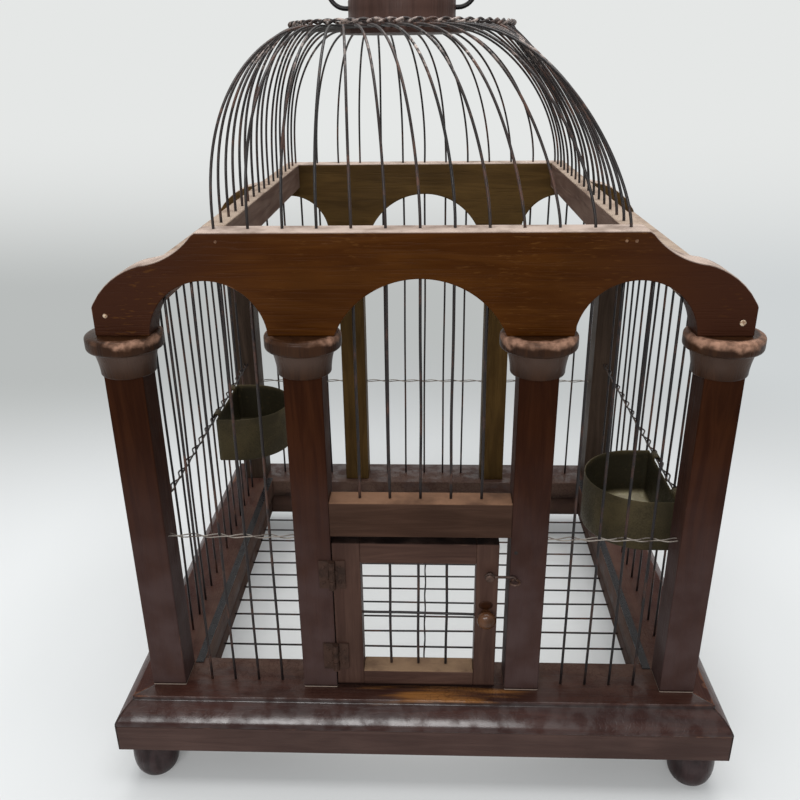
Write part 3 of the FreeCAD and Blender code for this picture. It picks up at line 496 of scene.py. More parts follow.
def wood(name, grain, deep, warm, bare, dust_and_shade_colour, reach, rough, coat=0.0, gloss=0.06, crackle=False, amber=None,
         painted_sheen=None, foot=None, ends=None, fleck=None):
    """Stained and varnished wood: figure, rubbed edges, dusted tops (on the door, tops in painted shade), and
    a film that may be crackled.

    amber places a rubbed spot, ends is the colour towards a board's ends, fleck the colour of scratches.
    The sheen tint is painted reflected light: a tint and the heights where it starts, is full, and is gone;
    foot is a level, with painted shade just above it, and a seam's colour.
    """
    material, recipe, shader, place = new_material(name)
    link = material.node_tree.links.new
    drawn = recipe.place(place, *GRAIN[grain])
    figure = recipe.effect(figure_group, {"Vector": drawn, "Place": place, "Deep": deep, "Warm": warm})
    worn = recipe.effect(wear_group, {"Edge": recipe.mark("edge"), "Place": place, "Reach": reach})["Mask"]
    dust_and_shade = recipe.effect(dust_and_shade_group, {"Top": recipe.mark("top"), "Place": place})["Mask"]
    colour = figure["Color"]
    if amber:
        spot = recipe.place(place, (22.0, 110.0, 0.0), shift=amber)
        far = recipe.node("VectorMath", {0: spot}, operation="LENGTH").outputs["Value"]
        ragged = recipe.math("ADD", far, recipe.remap(recipe.noise(drawn, 1.6, 4.0), 0.3, 0.7, -0.5, 0.5))
        colour = recipe.blend(recipe.remap(ragged, 0.2, 1.1, 0.75, 0.0), colour, tone(150, 98, 44))
    along = recipe.node("SeparateXYZ", {0: place}).outputs
    height = along["Z"]
    if ends:
        reach_out = recipe.math("ABSOLUTE", along["X"])
        colour = recipe.blend(recipe.remap(reach_out, 0.06, 0.165), colour, ends)
    if fleck:
        scratches = recipe.noise(recipe.place(place, (160.0, 900.0, 900.0)), 1.0, 2.0)
        patches = recipe.remap(recipe.noise(place, 18.0, 2.0), 0.46, 0.66, 0.0, 0.5)
        share = recipe.math("MULTIPLY", recipe.remap(scratches, 0.58, 0.72), patches)
        colour = recipe.blend(share, colour, fleck)
    # Painted sheen: a pale tint by height that stands for reflected light
    if painted_sheen:
        cover = recipe.remap(recipe.noise(place, 45.0, 4.0), 0.3, 0.7, 0.55, 1.0)
        tint, clear, full, gone = painted_sheen
        upper = recipe.remap(height, clear, full)
        lower = recipe.remap(height, gone, gone + 0.012)
        share = recipe.math("MULTIPLY", upper, lower)
        colour = recipe.blend(recipe.math("MULTIPLY", share, cover), colour, tint)
    colour = recipe.blend(worn, colour, bare)
    # Upward faces: dusted, and on the door in painted shade
    colour = recipe.blend(dust_and_shade, colour, dust_and_shade_colour)
    if foot:
        level, seam = foot
        # Painted shade: a dark band just above the foot level, where the piece meets the base
        colour = recipe.blend(recipe.remap(height, level + 0.003, level + 0.0012), colour, tone(26, 12, 9))
        colour = recipe.blend(recipe.remap(height, level + 0.0014, level + 0.001), colour, seam)
    smear = recipe.remap(recipe.noise(place, 35.0, 4.0), 0.3, 0.7, rough - 0.06, rough + 0.09)
    dull = recipe.math("ADD", recipe.math("MULTIPLY", worn, 0.2), recipe.math("MULTIPLY", dust_and_shade, 0.35))
    relief = figure["Height"]
    if crackle:
        film = recipe.effect(crackle_group, {"Place": place, "Scale": 260.0})
        colour = recipe.blend(recipe.math("MULTIPLY", film["Lines"], 0.4), colour, deep)
        # Painted shade: the shadowed step under the moulding's lip is darkened
        colour = recipe.blend(recipe.math("MULTIPLY", recipe.mark("dirt"), 0.8), colour, tone(24, 12, 10))
        relief = recipe.math("ADD", recipe.math("MULTIPLY", film["Height"], 0.8), relief)
    keys = {"Height": relief, "Strength": 0.35, "Distance": 0.0004}
    link(recipe.node("Bump", keys).outputs[0], shader.inputs["Normal"])
    link(colour, shader.inputs["Base Color"])
    link(recipe.math("ADD", smear, dull, True), shader.inputs["Roughness"])
    shader.inputs["Specular IOR Level"].default_value = gloss
    if coat:
        blotch = recipe.remap(recipe.noise(place, 110.0, 4.0), 0.36, 0.64, 0.4 * coat, 1.4 * coat)
        film_left = recipe.math("SUBTRACT", blotch, recipe.math("ADD", worn, dust_and_shade), True)
        link(film_left, shader.inputs["Coat Weight"])
        shader.inputs["Coat Roughness"].default_value = 0.2
    return material


def metal(name, base, stain, scale, start, stop, rough, metallic, mark=None, gloss=0.4, scuff=None):
    """Wire, brass or sheet: a base colour, stains on it, and a pitted surface; a mark shifts the tone, and a
    second mark lays a tone that is worn paint and painted highlight on the dome, and painted shade in the
    cups.
    """
    material, recipe, shader, place = new_material(name)
    link = material.node_tree.links.new
    patina = recipe.effect(patina_group, {"Place": place, "Scale": scale, "Start": start, "Stop": stop})
    colour = recipe.blend(patina["Mask"], base, stain)
    if mark:
        colour = recipe.blend(recipe.mark(mark[0]), colour, recipe.blend(patina["Mask"], mark[1], mark[2]))
    # Second tone: worn paint and painted highlight on the dome wires, and painted shade on the cups' inner
    # walls
    if scuff:
        cover = recipe.remap(recipe.noise(place, 260.0, 4.0), *scuff[1:])
        colour = recipe.blend(recipe.math("MULTIPLY", recipe.mark("scuff"), cover), colour, scuff[0])
    link(colour, shader.inputs["Base Color"])
    spread = recipe.remap(patina["Height"], 0.3, 0.7, rough - 0.08, rough + 0.1)
    stained = recipe.math("MULTIPLY", patina["Mask"], 0.12)
    link(recipe.math("ADD", spread, stained, True), shader.inputs["Roughness"])
    keys = {"Height": patina["Height"], "Strength": 0.25, "Distance": 0.0002}
    link(recipe.node("Bump", keys).outputs[0], shader.inputs["Normal"])
    shader.inputs["Metallic"].default_value = metallic
    shader.inputs["Specular IOR Level"].default_value = gloss
    return material


# Finishes
BARE_WOOD = tone(158, 112, 82)
PALE_DUST = tone(184, 166, 154)
DOOR_TONES = (tone(58, 40, 34), tone(72, 52, 44), tone(106, 80, 66))
# Painted shade: near-black for the gap under the header and along the door's foot
DOOR_GAP_SHADE = tone(18, 10, 8)
front_finish = wood(
    "front_mahogany", "X", tone(57, 27, 2), tone(69, 37, 7), BARE_WOOD, PALE_DUST,
    reach=1.1, rough=0.42, gloss=0.04, ends=tone(54, 29, 18), fleck=tone(92, 58, 24),
)
# Columns: the pale tint low down is painted sheen, and the band at the foot is painted shade
column_finish = wood(
    "column_mahogany", "Z", tone(38, 15, 4), tone(50, 24, 9), tone(106, 76, 60), tone(64, 44, 36),
    reach=0.8, rough=0.56, gloss=0.04, painted_sheen=(tone(68, 53, 51), 0.26, 0.11, 0.0),
    foot=(BASE_TOP * MM, tone(150, 134, 122)),
)
back_finish = {}
for grain in ("X", "Z"):
    back_finish[grain] = wood(
        "back_olive_brown_" + grain, grain, tone(64, 46, 21), tone(81, 60, 30), tone(108, 84, 50), PALE_DUST,
        reach=0.8, rough=0.5,
    )
corner_finish = wood(
    "back_corner_brown", "Z", tone(50, 39, 31), tone(64, 51, 42), tone(104, 82, 62), PALE_DUST,
    reach=0.8, rough=0.5,
)
rail_finish = wood(
    "raw_rail", "Y", tone(94, 72, 62), tone(118, 96, 84), tone(140, 120, 104), tone(170, 152, 136),
    reach=2.0, rough=0.6,
)
fascia_finish = {}
for grain in ("X", "Y"):
    fascia_finish[grain] = wood(
        "fascia_mahogany_" + grain, grain, tone(64, 48, 44), tone(73, 56, 51), tone(110, 84, 72),
        tone(82, 62, 53), reach=0.9, rough=0.5,
    )
moulding_finish = {
    "X": wood(
        "crackled_moulding_X", "X", tone(40, 17, 13), tone(54, 29, 23), tone(112, 76, 58), tone(94, 74, 64),
        reach=0.8, rough=0.34, coat=0.58, gloss=0.08, crackle=True, amber=(-0.35, 17.6, 0.0),
    ),
    # Side rails: their lighter tones and wider rubbed edges are partly wear and partly painted light on the
    # slopes
    "Y": wood(
        "crackled_moulding_Y", "Y", tone(50, 25, 22), tone(66, 37, 31), tone(112, 76, 58), tone(94, 74, 64),
        reach=2.4, rough=0.34, coat=0.1, crackle=True,
    ),
}
# Capitals: the greyish tint on the neck is painted sheen
capital_finish = wood(
    "turned_capital", "Z", tone(38, 20, 9), tone(52, 30, 15), tone(162, 124, 103), tone(140, 104, 82),
    reach=1.5, rough=0.36, coat=0.04, gloss=0.1,
    painted_sheen=(tone(71, 55, 47), DISC_LEVEL + 0.001, DISC_LEVEL, DISC_LEVEL - 0.0155),
)
foot_finish = wood(
    "turned_foot", "Z", tone(36, 26, 26), tone(52, 38, 38), tone(80, 54, 44), PALE_DUST,
    reach=0.0, rough=0.36, coat=0.3,
)
hub_finish = wood(
    "turned_hub", "Z", tone(62, 43, 37), tone(78, 56, 49), tone(120, 92, 76), tone(130, 108, 96),
    reach=1.2, rough=0.46, gloss=0.12,
)
# Door wood: the frame's upward faces, and the foot of the frame and sill, take the painted shade of the gaps
door_finish = {}
for grain in ("X", "Z"):
    door_finish[grain] = wood(
        "door_mahogany_" + grain, grain, *DOOR_TONES, DOOR_GAP_SHADE, reach=0.8, rough=0.46,
        foot=(DOOR_FOOT * MM, DOOR_GAP_SHADE),
    )
sill_finish = wood(
    "door_sill", "X", *DOOR_TONES, tone(126, 102, 80), reach=0.8, rough=0.46, foot=(DOOR_FOOT * MM, DOOR_GAP_SHADE)
)
header_finish = wood(
    "header_mahogany", "X", tone(54, 36, 27), tone(68, 48, 38), tone(106, 80, 66), tone(128, 96, 75),
    reach=0.9, rough=0.46,
)
knob_finish = wood(
    "turned_knob", "Z", tone(62, 38, 22), tone(86, 55, 34), tone(120, 82, 56), PALE_DUST,
    reach=1.2, rough=0.3, coat=0.3,
)
wire_finish = metal(
    "painted_wire", tone(22, 18, 19), tone(62, 40, 32), scale=60.0, start=0.5, stop=0.66,
    rough=0.42, metallic=0.25, mark=("tone", tone(34, 26, 25), tone(84, 56, 44)),
)
# Dome wire: its pale second tone is partly worn paint and partly painted highlight
dome_finish = metal(
    "scuffed_dome_wire", tone(24, 20, 20), tone(66, 44, 35), scale=60.0, start=0.5, stop=0.66,
    rough=0.42, metallic=0.25, mark=("tone", tone(38, 28, 26), tone(88, 60, 48)),
    scuff=(tone(166, 150, 142), 0.5, 0.62),
)
tie_finish = metal(
    "tie_wire", tone(128, 120, 112), tone(70, 58, 50), scale=90.0, start=0.5, stop=0.64,
    rough=0.42, metallic=0.4,
)
chain_finish = metal(
    "dark_tie_wire", tone(44, 38, 36), tone(70, 52, 42), scale=90.0, start=0.5, stop=0.64,
    rough=0.5, metallic=0.2,
)
bail_finish = metal(
    "black_bail", tone(20, 18, 18), tone(48, 36, 32), scale=80.0, start=0.55, stop=0.7,
    rough=0.36, metallic=0.5,
)
hinge_finish = metal(
    "dark_hinge", tone(58, 40, 32), tone(42, 29, 23), scale=150.0, start=0.42, stop=0.62,
    rough=0.55, metallic=0.0, gloss=0.12,
)
hook_finish = metal(
    "dark_hook", tone(72, 53, 45), tone(40, 28, 23), scale=160.0, start=0.4, stop=0.6,
    rough=0.4, metallic=0.4,
)
brass_finish = metal(
    "old_brass", tone(84, 61, 50), tone(52, 36, 29), scale=160.0, start=0.42, stop=0.62,
    rough=0.42, metallic=0.4,
)
# Cups: a pale inside floor; the dark colour given last paints shade on the inner wall
cup_finish = metal(
    "olive_sheet", tone(72, 62, 40), tone(54, 47, 31), scale=40.0, start=0.4, stop=0.62,
    rough=0.5, metallic=0.3, mark=("inside", tone(206, 196, 168), tone(176, 166, 134)), gloss=0.2,
    scuff=(tone(40, 36, 24), 0.15, 0.45),
)
strip_finish = metal(
    "dark_strip", tone(34, 32, 34), tone(26, 22, 22), scale=70.0, start=0.42, stop=0.6,
    rough=0.26, metallic=0.2,
)
nail_finish = metal(
    "filled_nail_hole", tone(206, 186, 160), tone(120, 84, 58), scale=500.0, start=0.45, stop=0.62,
    rough=0.7, metallic=0.0,
)
dull_nail_finish = metal(
    "dull_nail_hole", tone(116, 84, 58), tone(82, 54, 36), scale=500.0, start=0.45, stop=0.62,
    rough=0.7, metallic=0.0,
)
# A very dark brown for the patch over the knob
dark_knob_patch_finish = metal(
    "dark_knob_patch", tone(46, 22, 8), tone(34, 16, 8), scale=200.0, start=0.4, stop=0.62,
    rough=0.5, metallic=0.0, gloss=0.1,
)
dark_hole_finish = metal(
    "old_hole", tone(20, 13, 11), tone(40, 26, 20), scale=500.0, start=0.5, stop=0.7,
    rough=0.8, metallic=0.0,
)


# Base: profiles carried along each side, cut at the corners on the mitre
def profile_edge(profile, corners):
    """Distance of each profile point from the nearest sharp corner."""
    gaps = np.linalg.norm(profile[:, None] - np.asarray(corners, dtype=float)[None], axis=-1)
    return gaps.min(axis=1).clip(0, 20)


def round_corner(point, before, after, radius, steps=4):
    """Points that round a corner between two directions."""
    start = np.asarray(point) + np.asarray(before) * radius
    end = np.asarray(point) + np.asarray(after) * radius
    share = np.linspace(0, 1, steps)[:, None]
    return (1 - share) ** 2 * start + 2 * share * (1 - share) * np.asarray(point) + share ** 2 * end


def mitred(profile, corners, side, foot, top_band, quirk=(0, -9)):
    """One side of the base: a closed (depth, height) profile along it, shorter by the depth at each end."""
    turn, length, depth = {
        "front": (0, BASE_LENGTH, BASE_DEPTH),
        "right": (90, BASE_DEPTH, BASE_LENGTH),
        "back": (180, BASE_LENGTH, BASE_DEPTH),
        "left": (270, BASE_DEPTH, BASE_LENGTH),
    }[side]
    half = np.concatenate([[0, 0.3, 0.6, 0.8, 0.9], 1 - np.array([0.05, 0.02, 0.008, 0.0])])
    share = np.concatenate([-half[::-1], half[1:]])
    x = share[:, None] * (length / 2 - profile[:, 0])
    y = np.broadcast_to(profile[:, 0] - depth / 2, x.shape)
    z = np.broadcast_to(profile[:, 1] + foot, x.shape)
    points = np.stack([x, y, z], axis=-1)
    heart = points.mean(axis=1, keepdims=True)
    caps = np.repeat(heart[[0, -1]], len(profile), axis=1)
    points = np.concatenate([caps[:1], points, caps[1:]])
    angle = math.radians(turn)
    cosine = math.cos(angle)
    sine = math.sin(angle)
    spin = np.array([[cosine, sine, 0], [-sine, cosine, 0], [0, 0, 1]])
    along = np.concatenate([share[:1], share, share[-1:]])[:, None]
    edge = np.minimum(profile_edge(profile, corners)[None], (1 - np.abs(along)) * length / 2 + 0.6)
    upper = (profile[:, 1] > top_band) * np.interp(profile[:, 0], [24, 40], [0.15, 0.6])
    inner = profile[:, 0] > profile[:, 0].max() - 0.1
    top = np.broadcast_to(np.maximum(upper, inner * 0.9), edge.shape)
    # Painted shade: a mark that is full at the step under the lip and fades out within 1.7 mm
    dirt = (1 - np.linalg.norm(profile - np.asarray(quirk), axis=1) / 1.7).clip(0, 1)
    return patch(points @ spin, edge=edge, top=top, dirt=np.broadcast_to(dirt, edge.shape))


def moulding_profile():
    """Plain band, round nose, swelling slope, step and flat top, then down the inner face and back."""
    start = np.array([0.0, MOULDING_FILLET])
    end = np.array([MOULDING_SETBACK, MOULDING_HEIGHT - MOULDING_QUIRK])
    chord = end - start
    length = np.linalg.norm(chord)
    inward = np.array([chord[1], -chord[0]]) / length
    centre = (start + end) / 2 + inward * math.sqrt(MOULDING_RADIUS ** 2 - length ** 2 / 4)
    first = math.atan2(*(start - centre)[::-1])
    last = math.atan2(*(end - centre)[::-1])
    turn = np.linspace(first % (2 * math.pi), last % (2 * math.pi), 14)
    round_part = centre + MOULDING_RADIUS * np.stack([np.cos(turn), np.sin(turn)], axis=1)
    nose = round_corner(start, (0, -1), unit(round_part[1] - start), 1.5)
    lip = (MOULDING_SETBACK, MOULDING_HEIGHT)
    inner = (MOULDING_WIDTH, MOULDING_HEIGHT)
    steps = np.array([1.5, 4.0, 9.0, 20.0, 30.0]) + MOULDING_SETBACK
    flat = np.stack([steps, np.full(len(steps), MOULDING_HEIGHT)], axis=1)
    return rows(
        (0, 0.0), (0, 0.4), nose, round_part[2:],
        round_corner(lip, (0, -1), (1, 0), 0.7), flat, round_corner(inner, (-1, 0), (0, -1), 0.8),
        (MOULDING_WIDTH, 8.0), (MOULDING_WIDTH, 0.0),
    )


def fascia_profile():
    """A plain board with its lower outer edge rounded."""
    return rows(
        round_corner((0.0, 0.0), (1, 0), (0, 1), 1.0), (0, 3), (0, 6), (0, 10), (0, 14), (0, 17),
        (0, FASCIA_HEIGHT), (12, FASCIA_HEIGHT), (FASCIA_WIDTH, FASCIA_HEIGHT),
        (FASCIA_WIDTH, 10), (FASCIA_WIDTH, 0), (20, 0), (4, 0),
    )


for side in ("front", "back", "left", "right"):
    grain = "X" if side in ("front", "back") else "Y"
    corners = [(0, 0), (0, FASCIA_HEIGHT)]
    rail = mitred(fascia_profile(), corners, side, FOOT_HEIGHT, 99)
    piece("fascia_" + side, [rail], "cage", fascia_finish[grain], ["base_fascia_" + side], True)
    corners = [(0, 0), (MOULDING_SETBACK, MOULDING_HEIGHT), (MOULDING_WIDTH, MOULDING_HEIGHT)]
    quirk = (MOULDING_SETBACK, MOULDING_HEIGHT - MOULDING_QUIRK)
    rail = mitred(moulding_profile(), corners, side, MOULDING_FOOT, MOULDING_HEIGHT - 0.4, quirk)
    name = "base_moulding_" + side
    piece("moulding_" + side, [rail], "cage", moulding_finish[grain], [name], True)


def ball_foot(x, y):
    """A ball between two small flats."""
    turn = np.linspace(-1, 1, 25)
    height = FOOT_HEIGHT * (turn + 1) / 2
    radius = FOOT_FLAT + (FOOT_RADIUS - FOOT_FLAT) * (1 - np.abs(turn) ** 2.3) ** 0.6
    profile = rows((0, 0, 9), np.stack([height, radius, np.full(25, 9.0)], axis=1), (FOOT_HEIGHT, 0, 9))
    return lathe(profile, (x, y, 0))


feet = [ball_foot(x, y) for x in (-FOOT_X, FOOT_X) for y in (-FOOT_Y, FOOT_Y)]
piece("turned_feet", feet, "cage", foot_finish, ["ball_feet"])

# Columns, header, rails and the door's frame: rounded bars in the boxes of their solids
BARS = []
for row in ("front", "back"):
    for column in ("corner_column_left", "inner_column_left", "inner_column_right", "corner_column_right"):
        back = corner_finish if column.startswith("corner") else back_finish["Z"]
        finish = column_finish if row == "front" else back
        BARS.append((row + "_" + column, 2, "cage", finish, row + "_wood", 0.8))
for side in ("left", "right"):
    BARS.append(("top_rail_" + side, 1, "cage", rail_finish, "rail_wood", 0.8))
    BARS.append(("eave_rail_" + side, 1, "cage", rail_finish, "rail_wood", 0.8))
BARS.append(("door_header", 0, "cage", header_finish, "front_wood", 0.7))
for name, axis, finish in (
    ("door_hinge_stile", 2, door_finish["Z"]),
    ("door_latch_stile", 2, door_finish["Z"]),
    ("door_top_rail", 0, door_finish["X"]),
    ("door_bottom_rail", 0, sill_finish),
):
    BARS.append((name, axis, "door", finish, "door_wood", 0.6))
for name, axis, body, finish, slot, radius in BARS:
    low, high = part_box(name)
    solid = bar(np.array(low) / MM, np.array(high) / MM, axis, radius)
    piece(name + "_wood", [solid], body, finish, [name], True)


def capital(rub):
    """A neck, lapped over the column's end, flares to a thick disc with a round edge; rub wears it."""
    flare = np.linspace(0, 1, 10)
    neck_foot = NECK_ROUND - NECK_LAP
    height = neck_foot + (DISC_FOOT - 0.4 - neck_foot) * flare
    radius = NECK_RADIUS + NECK_FLARE * flare ** 1.7
    profile = rows(
        (-NECK_LAP, 0, 9), (-NECK_LAP, 13.6, 6),
        curve(neck_foot, NECK_RADIUS - NECK_ROUND, NECK_ROUND, -80, -15, 4, 6.0),
        np.stack([height, radius, np.full(10, 6.0)], axis=1),
        (DISC_FOOT, 17.8, 4), (DISC_FOOT + 0.2, 19.4, 3.0), curve(DISC_FOOT + 2.4, 19.3, 2.2, -80, 0, 5, 2.2),
        curve(18.0, 19.4, 2.1, 0, 80, 6, 0.6), (CAPITAL_HEIGHT, 18.6, 0.6), (CAPITAL_HEIGHT, 15.0, 2.0),
        (CAPITAL_HEIGHT, 0, 6),
    )
    return profile - np.array([0, 0, rub])


capitals = []
for y, rubs in ((-ROW_Y, (0.3, 0.7, 0.95, 1.15)), (ROW_Y, (0.1, 0.3, 0.2, 0.4))):
    for x, rub in zip(COLUMN_X, rubs):
        capitals.append(lathe(capital(rub), (x, y, CAPITAL_FOOT)))
piece("turned_capitals", capitals, "cage", capital_finish, ["capitals"])


# Arch boards
def arch_level(x, centre, radius, rise):
    """Underside of a round arch over its foot line."""
    return rise - radius + np.sqrt((radius ** 2 - (x - centre) ** 2).clip(0))


def board_foot(x):
    """Lower outline of a board: three arches, each cut where it is higher than the foot line."""
    level = np.zeros_like(x)
    for centre, arch in ((-SMALL_ARCH_X, SMALL_ARCH), (0.0, WIDE_ARCH), (SMALL_ARCH_X, SMALL_ARCH)):
        inside = np.abs(x - centre) < arch[0]
        level = np.where(inside, np.maximum(level, arch_level(x, centre, *arch)), level)
    return level


def circle_between(start, end, radius, inside):
    """Centre of the circle through two points; inside tells on which side of the chord it lies."""
    chord = np.subtract(end, start)
    length = np.linalg.norm(chord)
    normal = np.array([-chord[1], chord[0]]) / length
    return np.add(start, end) / 2 + normal * inside * math.sqrt(radius ** 2 - length ** 2 / 4)


def board_top(x):
    """Upper outline of a board: flat in the middle, then a hollow and a round shoulder to each end."""
    reach = np.abs(x)
    hollow = circle_between((SHOULDER_START, BOARD_HEIGHT), SHOULDER_TURN, SHOULDER_RADIUS, 1)
    bend = circle_between(SHOULDER_TURN, SHOULDER_END, SHOULDER_RADIUS, -1)
    low = hollow[1] - np.sqrt((SHOULDER_RADIUS ** 2 - (reach - hollow[0]) ** 2).clip(0))
    high = bend[1] + np.sqrt((SHOULDER_RADIUS ** 2 - (reach - bend[0]) ** 2).clip(0))
    shoulder = np.where(reach < SHOULDER_TURN[0], low, high)
    return np.where(reach < SHOULDER_START, BOARD_HEIGHT, shoulder)


def board_stations():
    """Places along a board, close together where an arch is steep."""
    found = [np.linspace(-BOARD_HALF + 1, BOARD_HALF - 1, 90)]
    for centre, arch in ((-SMALL_ARCH_X, SMALL_ARCH), (0.0, WIDE_ARCH), (SMALL_ARCH_X, SMALL_ARCH)):
        half = math.sqrt(arch[0] ** 2 - (arch[0] - arch[1]) ** 2)
        limit = math.asin(half / arch[0])
        found.append(centre + arch[0] * np.sin(np.linspace(-limit, limit, 49)))
        found.append(centre + np.array([-half - 0.02, half + 0.02]))
    places = np.unique(np.round(np.concatenate(found), 3))
    return places[np.concatenate([[True], np.diff(places) > 0.015])]


def arch_board(y):
    """A rounded rectangle between the lower and the upper outline, carried along the board."""
    radius = 0.8
    places, share = end_stations(-BOARD_HALF, BOARD_HALF, radius, board_stations())
    foot = board_foot(places) + BOARD_FOOT
    top = board_top(places) + BOARD_FOOT
    base, way = rounded_outline(BOARD_THICK / 2, 50.0, radius)
    edge_gap = 50.0 - radius - np.abs(base[:, 1])
    room = (top - foot)[:, None] / 2 - radius
    height = np.sign(base[:, 1]) * (room - np.minimum(edge_gap, room * 0.9))
    z = (top + foot)[:, None] / 2 + height + way[:, 1] * radius * share[:, None]
    across = y + base[:, 0] + way[:, 0] * radius * share[:, None]
    points = np.stack([np.broadcast_to(places[:, None], z.shape), across, z], axis=-1)
    caps = np.repeat(points[[0, -1]].mean(axis=1, keepdims=True), len(base), axis=1)
    points = np.concatenate([caps[:1], points, caps[1:]])
    ends = [0, *range(len(places)), len(places) - 1]
    low = np.stack(np.broadcast_arrays(-BOARD_HALF, y - BOARD_THICK / 2, foot[ends]), axis=-1)[:, None]
    high = np.stack(np.broadcast_arrays(BOARD_HALF, y + BOARD_THICK / 2, top[ends]), axis=-1)[:, None]
    upper = (1 - (high[..., 2] - points[..., 2]) / radius).clip(0, 1)
    return patch(points, edge=edge_distance(points, low, high), top=upper)


board = arch_board(-ROW_Y)
piece("front_board", [board], "cage", front_finish, ["front_arch_board"], True)
board = arch_board(ROW_Y)
piece("back_board", [board], "cage", back_finish["X"], ["back_arch_board"], True)


# Straight wires of bays, walls, roof, floor and door
def upright_wires(lines, seed, amount):
    """Wires from foot to top points, each a little bent by hand."""
    found = []
    for index, (foot, top) in enumerate(lines):
        path = sway(line(foot, top), seed + index, amount)
        found.append(tube(path, WIRE_RADIUS, (0, 1, 0), tone=wire_tone(seed + index)))
    return found


def bay_lines(y, middle_foot):
    """Foot and top of every wire in the three bays of one side."""
    lines = []
    for centre, half, count, arch, foot in (
        (-SMALL_ARCH_X, SMALL_BAY_HALF, 4, SMALL_ARCH, BASE_TOP),
        (SMALL_ARCH_X, SMALL_BAY_HALF, 4, SMALL_ARCH, BASE_TOP),
        (0.0, WIDE_BAY_HALF, 5, WIDE_ARCH, middle_foot),
    ):
        places = even(centre - half, centre + half, count)
        tops = BOARD_FOOT + arch_level(places, centre, *arch) + SEAT
        lines += [((x, y, foot - SEAT), (x, y, top)) for x, top in zip(places, tops)]
    return lines


wires = upright_wires(bay_lines(-BAY_Y, HEADER_TOP), 100, 0.5)
piece("front_bay_wires", wires, "cage", wire_finish, ["front_wires"])
wires = upright_wires(bay_lines(BAY_Y, BASE_TOP), 140, 0.6)
piece("back_bay_wires", wires, "cage", wire_finish, ["back_wires"])
WALL_Y = even(-WALL_HALF, WALL_HALF, WALL_WIRES)
for side, sign, seed in (("left", -1, 200), ("right", 1, 240)):
    lines = [((sign * WALL_X, y, BASE_TOP - SEAT), (sign * WALL_X, y, BOARD_FOOT + SEAT)) for y in WALL_Y]
    wires = upright_wires(lines, seed, 0.7)
    piece(side + "_wall", wires, "cage", wire_finish, [side + "_wall_wires"])
    low = (sign * (BOARD_HALF - 9.0), BOARD_FOOT + 16.0 - SEAT)
    high = (sign * (SHOULDER_START - SEAT), BOARD_TOP - 9.5)
    lines = [((low[0], y, low[1]), (high[0], y, high[1])) for y in WALL_Y]
    wires = upright_wires(lines, seed + 20, 0.5)
    piece(side + "_roof", wires, "cage", wire_finish, [side + "_roof_wires"])

floor = []
for index, y in enumerate(even(-OPENING_HALF, OPENING_HALF, FLOOR_WIRES)):
    run = line((-FLOOR_HALF, y, FLOOR_LEVEL), (FLOOR_HALF, y, FLOOR_LEVEL), 40)
    path = sway(run, 300 + index, 0.5, (0, 1, 0), (0, 0, 1))
    floor.append(tube(path, FLOOR_WIRE_RADIUS, (0, 0, 1), tone=wire_tone(300 + index)))
binder = line((BINDER_X, -BINDER_HALF, FLOOR_LEVEL), (BINDER_X, BINDER_HALF, FLOOR_LEVEL), 260)
turns = binder[:, 1] / (2 * OPENING_HALF / (FLOOR_WIRES + 1)) * math.pi
for sign in (-1, 1):
    weave = np.stack([0.3 * np.sin(turns), np.zeros_like(turns), sign * 1.4 * np.cos(turns)], axis=1)
    floor.append(tube(binder + weave, 0.6, (1, 0, 0), 6, tone=0.1))
piece("floor_grid", floor, "cage", wire_finish, ["floor_wires"])

left, right, foot, top = DOOR_WINDOW
panes = []
for index, x in enumerate(even(left, right, 3)):
    path = sway(line((x, PANE_Y, foot - SEAT), (x, PANE_Y, top + SEAT)), 400 + index, 0.4)
    panes.append(tube(path, WIRE_RADIUS, (0, 1, 0), tone=wire_tone(400 + index)))
cross = line((left - SEAT, CROSS_Y, CROSS_ENDS[0]), (right + SEAT, CROSS_Y, CROSS_ENDS[1]))
panes.append(tube(sway(cross, 410, 0.3, (0, 0, 1), (0, 0, 1)), WIRE_RADIUS, (0, 1, 0), tone=0.1))
piece("door_pane_wires", panes, "door", wire_finish, ["door_wires"])


# Tie wires
def woven_pair(start, end, way, first, pitch, radius=0.42):
    """Two strands that pass each upright on opposite sides and cross between the uprights."""
    path = line(start, end, 420)
    run = (path - np.asarray(start)) @ unit(np.subtract(end, start).astype(float))
    turn = math.pi * (run - first) / pitch
    slack = (np.sin(turn) ** 2)[:, None] * np.asarray(way, dtype=float) * 1.3
    strands = []
    for sign in (-1, 1):
        swing = sign * 1.5 * np.cos(turn)[:, None] * np.asarray(way, dtype=float)
        lift = sign * 0.55 * np.sin(turn)[:, None] * np.array([0, 0, 1.0])
        strands.append(tube(path + slack + swing + lift, radius, (0, 0, 1), 6))
    return strands


def bay_ties(bays, y, level, way):
    """Woven pairs across bays given by their middle, half width and number of gaps between uprights."""
    found = []
    for centre, half, gaps in bays:
        pitch = 2 * half / gaps
        start = (centre - half - SEAT, y, level)
        end = (centre + half + SEAT, y, level)
        found += woven_pair(start, end, way, SEAT + pitch, pitch)
    return found


